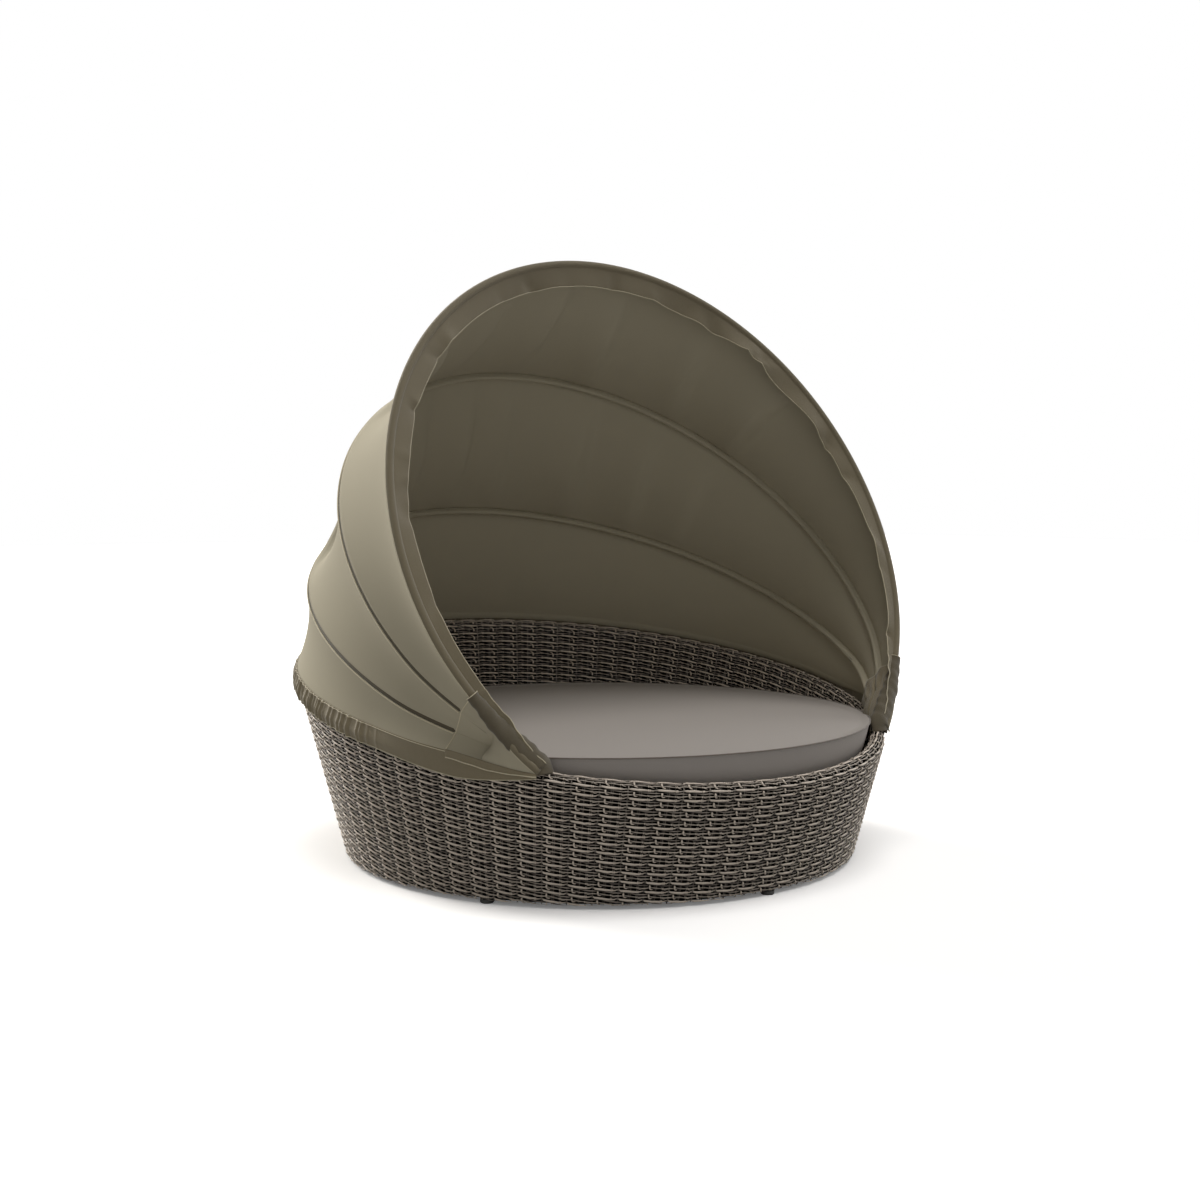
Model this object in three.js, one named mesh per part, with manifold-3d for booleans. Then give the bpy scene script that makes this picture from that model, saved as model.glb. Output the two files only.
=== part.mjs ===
// A round outdoor daybed: a woven tub that leans outwards under a tilted rim, a round cushion on a
// slatted deck, and three hoops that carry the canopy cloth and fold back towards the rim.
// Millimetres, +Z up, the open front towards -Y, the origin on the floor under the tub's middle.

import * as THREE from 'three';
import { mergeVertices } from 'three/addons/utils/BufferGeometryUtils.js';
import Module from 'manifold-3d';

const wasm = await Module();
wasm.setup();

// Fits
const gap = 0.3; // between pieces that touch
const overrun = 6; // how far a cutting solid runs past what it cuts

// Tub: a wall between two leaning cones, cut by the tilted plane of the rim
const floorRadius = 731; // outside of the wall where its line meets the floor
const wallLeanShare = 0.2646; // radius gained per height
const rimHeight = 450; // rim plane over the middle of the tub
const rimTiltShare = 0.1757; // rise of the rim plane per length towards the back
const frameTubeDiameter = 28;
const uprightDiameter = 25;
const uprightCount = 8;
const weaveThickness = 5;
const weaveClearance = 2; // between the frame tubes and the weave at its nearest
const braidDrop = 12; // straight edges of the rim braid below its half round

// Feet
const glideDiameter = 36;
const glideHeight = 10;
const glideChamfer = 2;
const glideCount = 6;

// Deck and cushion
const seatDrop = 67; // from the rim plane over the middle of the tub to the cushion's top seam
const cushionThickness = 130; // from deck to top seam
const cushionCrown = 18; // rise of the cushion's middle above its top seam
const cushionSideBulge = 4;
const cushionSeamGroove = 2;
const cushionWallClearance = 14;
const crownSharpnessShare = 5; // how squarely the crown turns down at its seam
const slatThickness = 12;
const slatWidth = 110;
const slatEdgeInset = 89.7; // from the circle the slats end on to the outermost edge of the deck
const slatCount = 7;
const slatEndClearance = 8;
const beamSpacing = 320;
const beamEndInset = 3; // from the deck ring's centre line to the end of a beam, before it is cut

// Hoops: arcs of one circle, each in a plane through the pivot line, and bent inwards at the legs
const hoopInset = 11.07; // of the common arc inside the outer face of the wall at the rim
const hoopCentreShift = 46.5; // of the arc's centre past the tub's middle, seen from the pivots
const hoopTubeDiameter = 14;
const hoopBoreDiameter = 11.2;
const hoopSettle = 240; // length over which a leg runs into the common arc
const rearHoopAngle = 24.8; // degrees above the level line that runs back
const middleHoopAngle = 45.3;
const frontHoopAngle = 66.1;

// Hinges: flat links side by side on one pin, in a bracket on the rim
const hingeSetBack = 301.07; // from the front of the wall at the rim to the pivot line
const pivotRise = 13; // from the rim plane to the pivot line
const hingeOutset = 8; // of the pivots outside the top line of the braid
const pinDiameter = 8;
const pinPlay = 0.3; // between the pin and its holes
const pinHeadDiameter = 14;
const pinHeadHeight = 4;
const nutSides = 6;
const linkThickness = 7;
const linkWidth = 14;
const linkPitch = 11;
const linkEyeDiameter = 18;
const linkKneeReach = 12;
const linkReach = 108; // from the pivot line to the end of the hoop's tube
const linkEndClearance = 1;
const spigotDiameter = 9.6;
const spigotLength = 20;
const cheekThickness = 4;
const cheekRadius = 10.5;
const bracketPlateThickness = 3;
const bracketPlateLength = 30;

// Canopy cloth
const clothThickness = 2;
const clothLift = 1.2; // of the cloth over the hoops
const clothEdgeGap = 1.5; // from a hoop's plane to the edge of a cloth panel
const clothSeamGap = 1.2; // between two pieces of cloth that meet at a seam
const frontSag = 26; // of the two upper panels, halfway between their hoops
const rearSag = 10;
const foldDepth = 4;
const foldCount = 6;
const hemDepth = 58;
const hemLift = 0.6; // from the front hoop to its hem facing
const hemTaperAngle = 30; // degrees round the arc over which the hem narrows to a tip
const hemTipShare = 0.15; // of the hem's depth that is left at a tip
const skirtTopDrop = 10; // below the rim plane
const skirtDepth = 65;
const skirtStandoff = 0.8;
const gatherDepth = 4;
const gatherCount = 24;
const skirtEndAngle = 134.6; // degrees round from the back to the tips at the hinges
const skirtTaperAngle = 16; // over which the skirt narrows to a tip
const skirtTipShare = 0.2; // of the skirt's depth that is left at a tip

// How finely round shapes are cut
const ringSegments = 48;
const tubeSides = 8;
const roundSides = 16;
const braidSteps = 4;
const hoopSteps = 32;
const panelRows = 6;
const skirtColumns = 96;
const patchColumns = 6;
const patchRows = 4;
const crownRings = 7;

// Worked out from the sizes above
const tubeRadius = frameTubeDiameter / 2;
const uprightRadius = uprightDiameter / 2;
const wallThickness = frameTubeDiameter + 2 * (weaveThickness + weaveClearance);
const leanLengthShare = Math.hypot(1, wallLeanShare);
const tiltLengthShare = Math.hypot(1, rimTiltShare);
const rimCentreRadius = floorRadius + wallLeanShare * rimHeight;
const rimGrowthShare = wallLeanShare * rimTiltShare;
const crownRadius = wallThickness / 2;
const crownMidRadius = rimCentreRadius - wallLeanShare * crownRadius - crownRadius;
const weaveTopDrop = crownRadius + braidDrop + gap;
const seatHeight = rimHeight - seatDrop; // top seam of the cushion
const deckHeight = seatHeight - cushionThickness;
const deckTubeTop = deckHeight - slatThickness - gap;
const deckRingHeight = deckTubeTop - tubeRadius;
const bottomRingHeight = glideHeight + gap + tubeRadius;
const hoopRadius = rimCentreRadius - hoopInset;
const hingeSetForward = rimCentreRadius - hingeSetBack;
const hoopCentreReach = hingeSetForward + hoopCentreShift;
const hoopTubeRadius = hoopTubeDiameter / 2;
const rimBackShift = (rimCentreRadius * rimGrowthShare) / (1 - rimGrowthShare ** 2);
const rimHalfDepth = rimCentreRadius / (1 - rimGrowthShare ** 2);
const rimHalfWidth = rimCentreRadius / Math.sqrt(1 - rimGrowthShare ** 2);

const wallRadius = (height) => floorRadius + wallLeanShare * height;
const midWallRadius = (height) => wallRadius(height) - wallThickness / 2;
const deckRingRadius =
  midWallRadius(deckRingHeight) - (uprightRadius + tubeRadius + gap) * leanLengthShare;

const hingeY = -hingeSetForward;
const hingeZ = rimHeight + rimTiltShare * hingeY + pivotRise * tiltLengthShare;
const hingeX =
  Math.sqrt((crownMidRadius + rimGrowthShare * hingeY) ** 2 - hingeY ** 2) + hingeOutset;
const hoops = [
  { name: 'rear', angle: rearHoopAngle, place: -1 },
  { name: 'middle', angle: middleHoopAngle, place: 0 },
  { name: 'front', angle: frontHoopAngle, place: 1 },
];

const finish = (color, roughness, metalness) =>
  new THREE.MeshStandardMaterial({ color, roughness, metalness });
const wicker = finish(0x6b6157, 0.7, 0);
const coatedTube = finish(0x4a4640, 0.5, 0.6);
const slatWood = finish(0x8a6a48, 0.7, 0);
const steel = finish(0xb8b8b4, 0.35, 0.9);
const nylon = finish(0x2a2927, 0.6, 0);
const canopyCloth = finish(0x8d8468, 0.85, 0);
const cushionCloth = finish(0x8a8078, 0.9, 0);

const daybed = new THREE.Group();

// Positions alone, shared vertices merged and the faces pointing out
function closed(geometry) {
  geometry.deleteAttribute('normal');
  geometry.deleteAttribute('uv');
  const merged = mergeVertices(geometry);
  const position = merged.getAttribute('position');
  const index = merged.getIndex().array;
  const [a, b, c] = [new THREE.Vector3(), new THREE.Vector3(), new THREE.Vector3()];
  const kept = [];
  let volume = 0;
  for (let i = 0; i < index.length; i += 3) {
    const [p, q, r] = [index[i], index[i + 1], index[i + 2]];
    if (p === q || q === r || r === p) continue;
    kept.push(p, q, r);
    a.fromBufferAttribute(position, p);
    b.fromBufferAttribute(position, q);
    c.fromBufferAttribute(position, r);
    volume += a.dot(b.cross(c));
  }
  merged.setIndex(volume < 0 ? kept.reverse() : kept);
  merged.computeVertexNormals();
  return merged;
}

function toSolid(geometry) {
  const merged = closed(geometry.clone());
  return new wasm.Manifold(
    new wasm.Mesh({
      numProp: 3,
      vertProperties: new Float32Array(merged.getAttribute('position').array),
      triVerts: new Uint32Array(merged.getIndex().array),
    })
  );
}

function toGeometry(solid) {
  const mesh = solid.getMesh();
  const geometry = new THREE.BufferGeometry();
  geometry.setAttribute('position', new THREE.Float32BufferAttribute(mesh.vertProperties, 3));
  geometry.setIndex([...mesh.triVerts]);
  return geometry;
}

// A first shape with more joined on and others cut away
function shaped(first, joined, cuts) {
  let solid = toSolid(first);
  for (const geometry of joined) solid = solid.add(toSolid(geometry));
  for (const geometry of cuts) solid = solid.subtract(toSolid(geometry));
  return toGeometry(solid);
}

function addPiece(name, geometry, material) {
  const mesh = new THREE.Mesh(closed(geometry), material);
  mesh.name = name;
  daybed.add(mesh);
  return mesh;
}

// A closed outline of [radius, height] points turned about Z
function turned(outline, segments = ringSegments) {
  const points = outline.map(([radius, height]) => new THREE.Vector2(radius, height));
  if (outline[0][0] !== 0) points.push(points[0].clone());
  return new THREE.LatheGeometry(points, segments).rotateX(Math.PI / 2);
}

function levelRing(radius, height, thickness) {
  return new THREE.TorusGeometry(radius, thickness, tubeSides, ringSegments).translate(0, 0, height);
}

// A ring drawn level, with height zero on the rim plane, carried onto the tilted rim of the cone
function ontoRim(geometry) {
  const position = geometry.getAttribute('position');
  for (let i = 0; i < position.count; i += 1) {
    const radius = Math.hypot(position.getX(i), position.getY(i));
    const spread = 1 / (1 - (rimGrowthShare * position.getY(i)) / radius);
    const y = position.getY(i) * spread;
    position.setXYZ(i, position.getX(i) * spread, y, position.getZ(i) + rimHeight + rimTiltShare * y);
  }
  return geometry;
}

function rod(start, end, radius, sides = roundSides) {
  const along = end.clone().sub(start);
  const turn = new THREE.Quaternion().setFromUnitVectors(
    new THREE.Vector3(0, 1, 0),
    along.clone().normalize()
  );
  const middle = start.clone().addScaledVector(along, 1 / 2);
  return new THREE.CylinderGeometry(radius, radius, along.length(), sides)
    .applyQuaternion(turn)
    .translate(middle.x, middle.y, middle.z);
}

// A place along the pivot line of a hinge drawn with its middle at the origin
const across = (x) => new THREE.Vector3(x, 0, 0);

// A block whose top lies a given drop under the rim plane, to cut the wall at the tilted rim
function underRim(drop) {
  const width = 2 * (wallRadius(2 * rimHeight) + overrun);
  const block = new THREE.BoxGeometry(width, width, 2 * rimHeight);
  block.translate(0, 0, -drop);
  const position = block.getAttribute('position');
  for (let i = 0; i < position.count; i += 1) {
    position.setZ(i, position.getZ(i) + rimTiltShare * position.getY(i));
  }
  return block;
}

// One skin of the wall: a leaning shell from a level foot up to the tilted rim
function weaveSkin(outerInset, foot) {
  const head = 2 * rimHeight;
  const radiusAt = (height, inset) => wallRadius(height) - outerInset - inset;
  const shell = turned([
    [radiusAt(foot, weaveThickness), foot],
    [radiusAt(foot, 0), foot],
    [radiusAt(head, 0), head],
    [radiusAt(head, weaveThickness), head],
  ]);
  return toGeometry(toSolid(shell).intersect(toSolid(underRim(weaveTopDrop))));
}

function addWeave() {
  addPiece('outer_weave', weaveSkin(0, glideHeight + gap), wicker);
  const innerInset = wallThickness - weaveThickness;
  addPiece('inner_weave', weaveSkin(innerInset, deckTubeTop + gap), wicker);
}

// The braid over the rim: a half round with short straight edges that follow the wall's lean
function addRimBraid() {
  const outline = [];
  const arc = (radius, from, to) => {
    for (let i = 0; i <= braidSteps; i += 1) {
      const turn = from + ((to - from) * i) / braidSteps;
      outline.push([
        crownMidRadius + radius * Math.cos(turn),
        -crownRadius + radius * Math.sin(turn),
      ]);
    }
  };
  const foot = -crownRadius - braidDrop;
  const footShift = -wallLeanShare * braidDrop;
  const innerRadius = crownRadius - weaveThickness;
  const footAt = (offset) => outline.push([crownMidRadius + footShift + offset, foot]);
  footAt(crownRadius);
  arc(crownRadius, 0, Math.PI);
  footAt(-crownRadius);
  footAt(-innerRadius);
  arc(innerRadius, Math.PI, 0);
  footAt(innerRadius);
  addPiece('rim_braid', ontoRim(turned(outline)), wicker);
}

const topRing = (radius) => ontoRim(levelRing(crownMidRadius, -crownRadius, radius));
const bottomRing = (radius) =>
  levelRing(midWallRadius(bottomRingHeight), bottomRingHeight, radius);
const deckRing = (radius) => levelRing(deckRingRadius, deckRingHeight, radius);

function addFrame() {
  addPiece('bottom_ring', bottomRing(tubeRadius), coatedTube);
  addPiece('top_ring', topRing(tubeRadius), coatedTube);
  addPiece('deck_ring', deckRing(tubeRadius), coatedTube);
  const cuts = [bottomRing(tubeRadius + gap), topRing(tubeRadius + gap)];
  for (let i = 0; i < uprightCount; i += 1) {
    const turn = (2 * Math.PI * i) / uprightCount;
    const footRadius = midWallRadius(bottomRingHeight);
    const foot = new THREE.Vector3(
      footRadius * Math.cos(turn),
      footRadius * Math.sin(turn),
      bottomRingHeight
    );
    const headRadius = crownMidRadius / (1 - rimGrowthShare * Math.sin(turn));
    const headY = headRadius * Math.sin(turn);
    const head = new THREE.Vector3(
      headRadius * Math.cos(turn),
      headY,
      rimHeight + rimTiltShare * headY - crownRadius
    );
    const upright = shaped(rod(foot, head, uprightRadius, tubeSides), [], cuts);
    addPiece(`upright_${i + 1}`, upright, coatedTube);
  }
}

function glide() {
  const radius = glideDiameter / 2;
  return turned(
    [
      [0, 0],
      [radius - glideChamfer, 0],
      [radius, glideChamfer],
      [radius, glideHeight],
      [0, glideHeight],
    ],
    roundSides
  );
}

function addFeet() {
  const ringRadius = midWallRadius(bottomRingHeight);
  for (let i = 0; i < glideCount; i += 1) {
    const turn = (2 * Math.PI * (i + 1 / 2)) / glideCount;
    const foot = glide().translate(ringRadius * Math.cos(turn), ringRadius * Math.sin(turn), 0);
    addPiece(`glide_${i + 1}`, foot, nylon);
  }
  addPiece('centre_glide', glide(), nylon);
}

function deckBeam(x, radius) {
  const reach = Math.sqrt((deckRingRadius - beamEndInset) ** 2 - x ** 2);
  const start = new THREE.Vector3(x, -reach, deckRingHeight);
  const end = new THREE.Vector3(x, reach, deckRingHeight);
  return rod(start, end, radius, tubeSides);
}

function addDeck() {
  const ringCut = deckRing(tubeRadius + gap);
  const sides = { left: -1, centre: 0, right: 1 };
  for (const [side, step] of Object.entries(sides)) {
    const beam = shaped(deckBeam(step * beamSpacing, tubeRadius), [], [ringCut]);
    addPiece(`deck_beam_${side}`, beam, coatedTube);
  }
  const legFoot = new THREE.Vector3(0, 0, glideHeight + gap);
  const legHead = new THREE.Vector3(0, 0, deckRingHeight);
  const leg = rod(legFoot, legHead, uprightRadius, tubeSides);
  addPiece('centre_leg', shaped(leg, [], [deckBeam(0, tubeRadius + gap)]), coatedTube);

  const slatRadius = wallRadius(deckTubeTop) - wallThickness - slatEndClearance;
  const slatPitch = (2 * (slatRadius - slatEdgeInset) - slatWidth) / (slatCount - 1);
  for (let i = 0; i < slatCount; i += 1) {
    const y = (i - (slatCount - 1) / 2) * slatPitch;
    const farEdge = Math.abs(y) + slatWidth / 2;
    const length = 2 * Math.sqrt(slatRadius ** 2 - farEdge ** 2);
    const slat = new THREE.BoxGeometry(length, slatWidth, slatThickness);
    slat.translate(0, y, deckHeight - slatThickness / 2);
    addPiece(`slat_${i + 1}`, slat, slatWood);
  }
}

// The cushion: a crowned top, a bulging side panel between two grooved seams, a flat underside
function addCushion() {
  const edge = (height) => wallRadius(height) - wallThickness - cushionWallClearance;
  const foot = deckHeight + gap;
  const seam = cushionSeamGroove;
  const middle = (foot + seatHeight) / 2;
  const outline = [
    [0, foot],
    [edge(foot) - 2 * cushionSideBulge, foot],
    [edge(foot) - seam, foot + 2 * seam],
    [edge(foot) + cushionSideBulge / 2, foot + 3 * cushionSideBulge],
    [edge(middle) + cushionSideBulge, middle],
    [edge(seatHeight) + cushionSideBulge / 2, seatHeight - 3 * cushionSideBulge],
    [edge(seatHeight) - seam, seatHeight],
  ];
  const seamRadius = edge(seatHeight);
  for (let i = 1; i <= crownRings; i += 1) {
    const outShare = 1 - (i / crownRings) ** 2;
    const rise = cushionCrown * (1 - outShare ** crownSharpnessShare);
    outline.push([seamRadius * outShare, seatHeight + rise]);
  }
  addPiece('cushion', turned(outline), cushionCloth);
}

// Inward shift of a leg from the common arc: full on the link, and fading out up the hoop
function legShift(place, reach) {
  const kneeX = Math.sqrt(hoopRadius ** 2 - (linkReach - hoopCentreReach) ** 2);
  const linkStart = hingeX + place * linkPitch + linkOutset;
  const fade = THREE.MathUtils.clamp((reach - linkReach) / hoopSettle, 0, 1);
  return ((linkStart - kneeX) * (1 + Math.cos(Math.PI * fade))) / 2;
}

// Sideways run of a link from its eye to the hoop's tube, on the slope of the arc halfway along it
const arcSlopeShare = (reach) =>
  (hoopCentreReach - reach) / Math.sqrt(hoopRadius ** 2 - (reach - hoopCentreReach) ** 2);
const linkOutset = (linkReach - linkKneeReach) * arcSlopeShare((linkReach + linkKneeReach) / 2);

// Half the arc's sweep, from its top to the end of the tube
const hoopSweep = Math.acos((linkReach - hoopCentreReach) / hoopRadius);

// A point of a hoop, or of a line laid outside it, as [x, reach from the pivot line]
function hoopPoint(place, turn, outward) {
  const radius = hoopRadius + outward;
  const onTube = hoopCentreReach + hoopRadius * Math.cos(turn);
  const side = Math.sign(turn);
  const x = radius * Math.sin(turn) + side * legShift(place, onTube);
  return [x, hoopCentreReach + radius * Math.cos(turn)];
}

class HoopCurve extends THREE.Curve {
  constructor(place) {
    super();
    this.place = place;
  }

  getPoint(share, target = new THREE.Vector3()) {
    const [x, reach] = hoopPoint(this.place, hoopSweep * (2 * share - 1), 0);
    return target.set(x, reach, 0);
  }
}

function hoopTube(place) {
  const section = new THREE.Shape().absarc(0, 0, hoopTubeRadius, 0, 2 * Math.PI, false);
  const bore = new THREE.Path().absarc(0, 0, hoopBoreDiameter / 2, 0, 2 * Math.PI, true);
  section.holes.push(bore);
  return new THREE.ExtrudeGeometry(section, {
    steps: hoopSteps,
    curveSegments: tubeSides / 2,
    extrudePath: new HoopCurve(place),
  });
}

// A flat link drawn with its eye at the origin: up to the knee, out to the tube, a spigot inside it
function hoopLink(curve) {
  const half = linkThickness / 2;
  const end = curve.getPoint(1);
  const run = curve.getTangent(1).negate();
  const eyeX = end.x - linkOutset;
  const knee = new THREE.Vector2(0, linkKneeReach);
  const tip = new THREE.Vector2(linkOutset, linkReach);
  const slope = tip.clone().sub(knee).normalize();
  tip.addScaledVector(slope, -linkEndClearance);
  const side = new THREE.Vector2(slope.y, -slope.x).multiplyScalar(half);
  const mitre = (half * (1 - slope.y)) / slope.x;
  const outline = [
    new THREE.Vector2(half, 0),
    new THREE.Vector2(half, knee.y - mitre),
    tip.clone().add(side),
    tip.clone().sub(side),
    new THREE.Vector2(-half, knee.y + mitre),
    new THREE.Vector2(-half, 0),
  ];
  const strip = new THREE.ExtrudeGeometry(new THREE.Shape(outline), {
    depth: linkWidth,
    bevelEnabled: false,
  }).translate(0, 0, -linkWidth / 2);
  const eye = rod(across(-half), across(half), linkEyeDiameter / 2);
  const bore = rod(across(-half - overrun), across(half + overrun), pinDiameter / 2 + pinPlay);
  const tubeEnd = new THREE.Vector3(linkOutset, linkReach, 0);
  const spigotStart = tubeEnd.clone().addScaledVector(run, half);
  const spigotEnd = tubeEnd.clone().addScaledVector(run, -spigotLength);
  const spigot = rod(spigotStart, spigotEnd, spigotDiameter / 2, tubeSides);
  return { eyeX, geometry: shaped(eye, [strip, spigot], [bore]) };
}

function addHoops() {
  for (const { name, angle, place } of hoops) {
    const turn = THREE.MathUtils.degToRad(angle);
    const tube = addPiece(`${name}_hoop`, hoopTube(place), coatedTube);
    tube.position.set(0, hingeY, hingeZ);
    tube.rotation.x = turn;
    const { eyeX, geometry } = hoopLink(new HoopCurve(place));
    for (const [side, sign] of Object.entries({ left: -1, right: 1 })) {
      const link = geometry.clone().translate(eyeX, 0, 0).scale(sign, 1, 1);
      const mesh = addPiece(`${name}_link_${side}`, link, steel);
      mesh.position.set(0, hingeY, hingeZ);
      mesh.rotation.x = turn;
    }
  }
}

// The bracket: a plate on the rim braid and two cheeks, drawn with the pivot line at the origin
function hingeBracket(cheekInside) {
  const cheekOutside = cheekInside + cheekThickness;
  const plateTop = -pivotRise + gap + bracketPlateThickness;
  const foot = plateTop - bracketPlateThickness / 2;
  const plate = new THREE.BoxGeometry(
    2 * cheekOutside,
    bracketPlateLength,
    bracketPlateThickness
  ).translate(0, 0, foot);
  const outline = new THREE.Shape()
    .moveTo(foot, cheekRadius)
    .absarc(0, 0, cheekRadius, Math.PI / 2, -Math.PI / 2, true)
    .lineTo(foot, -cheekRadius);
  const cheek = () =>
    new THREE.ExtrudeGeometry(outline, {
      depth: cheekThickness,
      bevelEnabled: false,
      curveSegments: tubeSides,
    }).rotateY(-Math.PI / 2);
  const left = cheek().translate(-cheekInside, 0, 0);
  const right = cheek().translate(cheekOutside, 0, 0);
  const reach = new THREE.Vector3(cheekOutside + overrun, 0, 0);
  const bore = rod(reach.clone().negate(), reach, pinDiameter / 2 + pinPlay);
  return shaped(plate, [left, right], [bore]);
}

function pivotPin(cheekOutside) {
  const headFace = cheekOutside + gap;
  const end = -headFace - pinHeadHeight - gap;
  const shank = rod(across(end), across(headFace + pinHeadHeight / 2), pinDiameter / 2);
  const head = rod(across(headFace), across(headFace + pinHeadHeight), pinHeadDiameter / 2);
  return shaped(shank, [head], []);
}

function pivotNut(cheekOutside) {
  const face = -cheekOutside - gap;
  const body = rod(across(face), across(face - pinHeadHeight), pinHeadDiameter / 2, nutSides);
  const bore = rod(
    across(face + overrun),
    across(face - pinHeadHeight - overrun),
    pinDiameter / 2 + pinPlay
  );
  return shaped(body, [], [bore]);
}

function spacer() {
  const half = (linkPitch - linkThickness) / 2 - gap;
  const inner = pinDiameter / 2 + pinPlay;
  const outer = linkEyeDiameter / 2;
  return turned(
    [
      [inner, -half],
      [outer, -half],
      [outer, half],
      [inner, half],
    ],
    roundSides
  ).rotateY(Math.PI / 2);
}

function addHinges() {
  const cheekInside = linkPitch + linkThickness / 2 + gap;
  const cheekOutside = cheekInside + cheekThickness;
  const tilt = Math.atan(rimTiltShare);
  const addAt = (name, geometry, sign, x, material) => {
    const mesh = addPiece(name, geometry.scale(sign, 1, 1), material);
    mesh.position.set(sign * (hingeX + x), hingeY, hingeZ);
    mesh.rotation.x = tilt;
  };
  for (const [side, sign] of Object.entries({ left: -1, right: 1 })) {
    addAt(`hinge_bracket_${side}`, hingeBracket(cheekInside), sign, 0, steel);
    addAt(`pivot_pin_${side}`, pivotPin(cheekOutside), sign, 0, steel);
    addAt(`pivot_nut_${side}`, pivotNut(cheekOutside), sign, 0, steel);
    addAt(`inner_spacer_${side}`, spacer(), sign, -linkPitch / 2, nylon);
    addAt(`outer_spacer_${side}`, spacer(), sign, linkPitch / 2, nylon);
  }
}

// A sheet of cloth as a closed solid: a grid of middle points, half the thickness to either side
function clothSheet(pointAt, columns, rows, thickness = clothThickness) {
  const grid = [];
  for (let i = 0; i <= columns; i += 1) {
    for (let j = 0; j <= rows; j += 1) grid.push(pointAt(i / columns, j / rows));
  }
  const at = (i, j) =>
    grid[
      THREE.MathUtils.clamp(i, 0, columns) * (rows + 1) + THREE.MathUtils.clamp(j, 0, rows)
    ];
  const faces = [[], []];
  for (let i = 0; i <= columns; i += 1) {
    for (let j = 0; j <= rows; j += 1) {
      const along = at(i + 1, j).clone().sub(at(i - 1, j));
      const down = at(i, j + 1).clone().sub(at(i, j - 1));
      const normal = along.cross(down).normalize();
      faces[0].push(at(i, j).clone().addScaledVector(normal, thickness / 2));
      faces[1].push(at(i, j).clone().addScaledVector(normal, -thickness / 2));
    }
  }
  const corners = [...faces[0], ...faces[1]].flatMap((point) => point.toArray());
  const index = [];
  const far = grid.length;
  const quad = (a, b, c, d) => index.push(a, b, c, a, c, d);
  const id = (i, j) => i * (rows + 1) + j;
  for (let i = 0; i < columns; i += 1) {
    for (let j = 0; j < rows; j += 1) {
      quad(id(i, j), id(i + 1, j), id(i + 1, j + 1), id(i, j + 1));
      quad(far + id(i, j + 1), far + id(i + 1, j + 1), far + id(i + 1, j), far + id(i, j));
    }
    quad(id(i, 0), far + id(i, 0), far + id(i + 1, 0), id(i + 1, 0));
    quad(id(i + 1, rows), far + id(i + 1, rows), far + id(i, rows), id(i, rows));
  }
  for (let j = 0; j < rows; j += 1) {
    quad(id(0, j + 1), far + id(0, j + 1), far + id(0, j), id(0, j));
    quad(id(columns, j), far + id(columns, j), far + id(columns, j + 1), id(columns, j + 1));
  }
  const geometry = new THREE.BufferGeometry();
  geometry.setAttribute('position', new THREE.Float32BufferAttribute(corners, 3));
  geometry.setIndex(index);
  return geometry;
}

// A point of the cloth over a hoop's plane: the hoop's outline, lifted, turned to a plane's angle
function canopyPoint(place, turn, outward, angle) {
  const [x, reach] = hoopPoint(place, turn, outward);
  return new THREE.Vector3(
    x,
    hingeY + reach * Math.cos(angle),
    hingeZ + reach * Math.sin(angle)
  );
}

const clothOffset = hoopTubeRadius + clothLift + clothThickness / 2;

// How far a panel sinks between its edges: the straight pull across, some sag and a few soft folds
function panelSink(turn, reach, spread, down, sag) {
  const middleShare = 4 * down * (1 - down);
  const chord = reach * (1 - Math.cos(spread / 2));
  const heightShare = reach / (hoopRadius + hoopCentreReach);
  const fold = foldDepth * heightShare * Math.cos(2 * foldCount * turn);
  return middleShare * (chord + sag * heightShare + fold);
}

// The panel between two hoops, from the lower one up
function upperPanel(lower, upper) {
  const low = THREE.MathUtils.degToRad(lower.angle);
  const high = THREE.MathUtils.degToRad(upper.angle);
  return (share, up) => {
    const turn = hoopSweep * (2 * share - 1);
    const reach = hoopCentreReach + hoopRadius * Math.cos(turn);
    const edge = clothEdgeGap / reach;
    const angle = low + edge + (high - low - 2 * edge) * up;
    const place = lower.place + (upper.place - lower.place) * up;
    const sink = panelSink(turn, reach, high - low, up, frontSag);
    return canopyPoint(place, turn, clothOffset - sink, angle);
  };
}

// A point of the cloth that lies along the wall under the rim, by the angle round from the back
function rimClothPoint(turn, drop, standoff = skirtStandoff) {
  const outward = standoff + clothThickness / 2 - wallLeanShare * drop;
  const y = rimBackShift + (rimHalfDepth + outward) * Math.cos(turn);
  const x = (rimHalfWidth + outward) * Math.sin(turn);
  return new THREE.Vector3(x, y, rimHeight + rimTiltShare * y - drop);
}

// The panel between the rear hoop and the rim
function rearPanel(hoop) {
  const high = THREE.MathUtils.degToRad(hoop.angle);
  const low = Math.atan(rimTiltShare);
  return (share, up) => {
    const turn = hoopSweep * (2 * share - 1);
    const reach = hoopCentreReach + hoopRadius * Math.cos(turn);
    const sink = panelSink(turn, reach, high - low, up, rearSag);
    const head = canopyPoint(hoop.place, turn, clothOffset, high - clothEdgeGap / reach);
    const foot = rimClothPoint(turn, skirtTopDrop - clothSeamGap);
    const inward = new THREE.Vector3(-Math.sin(turn), -Math.cos(turn), 0);
    return foot.lerp(head, up).addScaledVector(inward, sink);
  };
}

function addPanels() {
  const [rear, middle, front] = hoops;
  const panels = { rear: rearPanel(rear), middle: upperPanel(rear, middle) };
  panels.front = upperPanel(middle, front);
  for (const [name, pointAt] of Object.entries(panels)) {
    addPiece(`${name}_panel`, clothSheet(pointAt, hoopSteps, panelRows), canopyCloth);
  }
}

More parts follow.
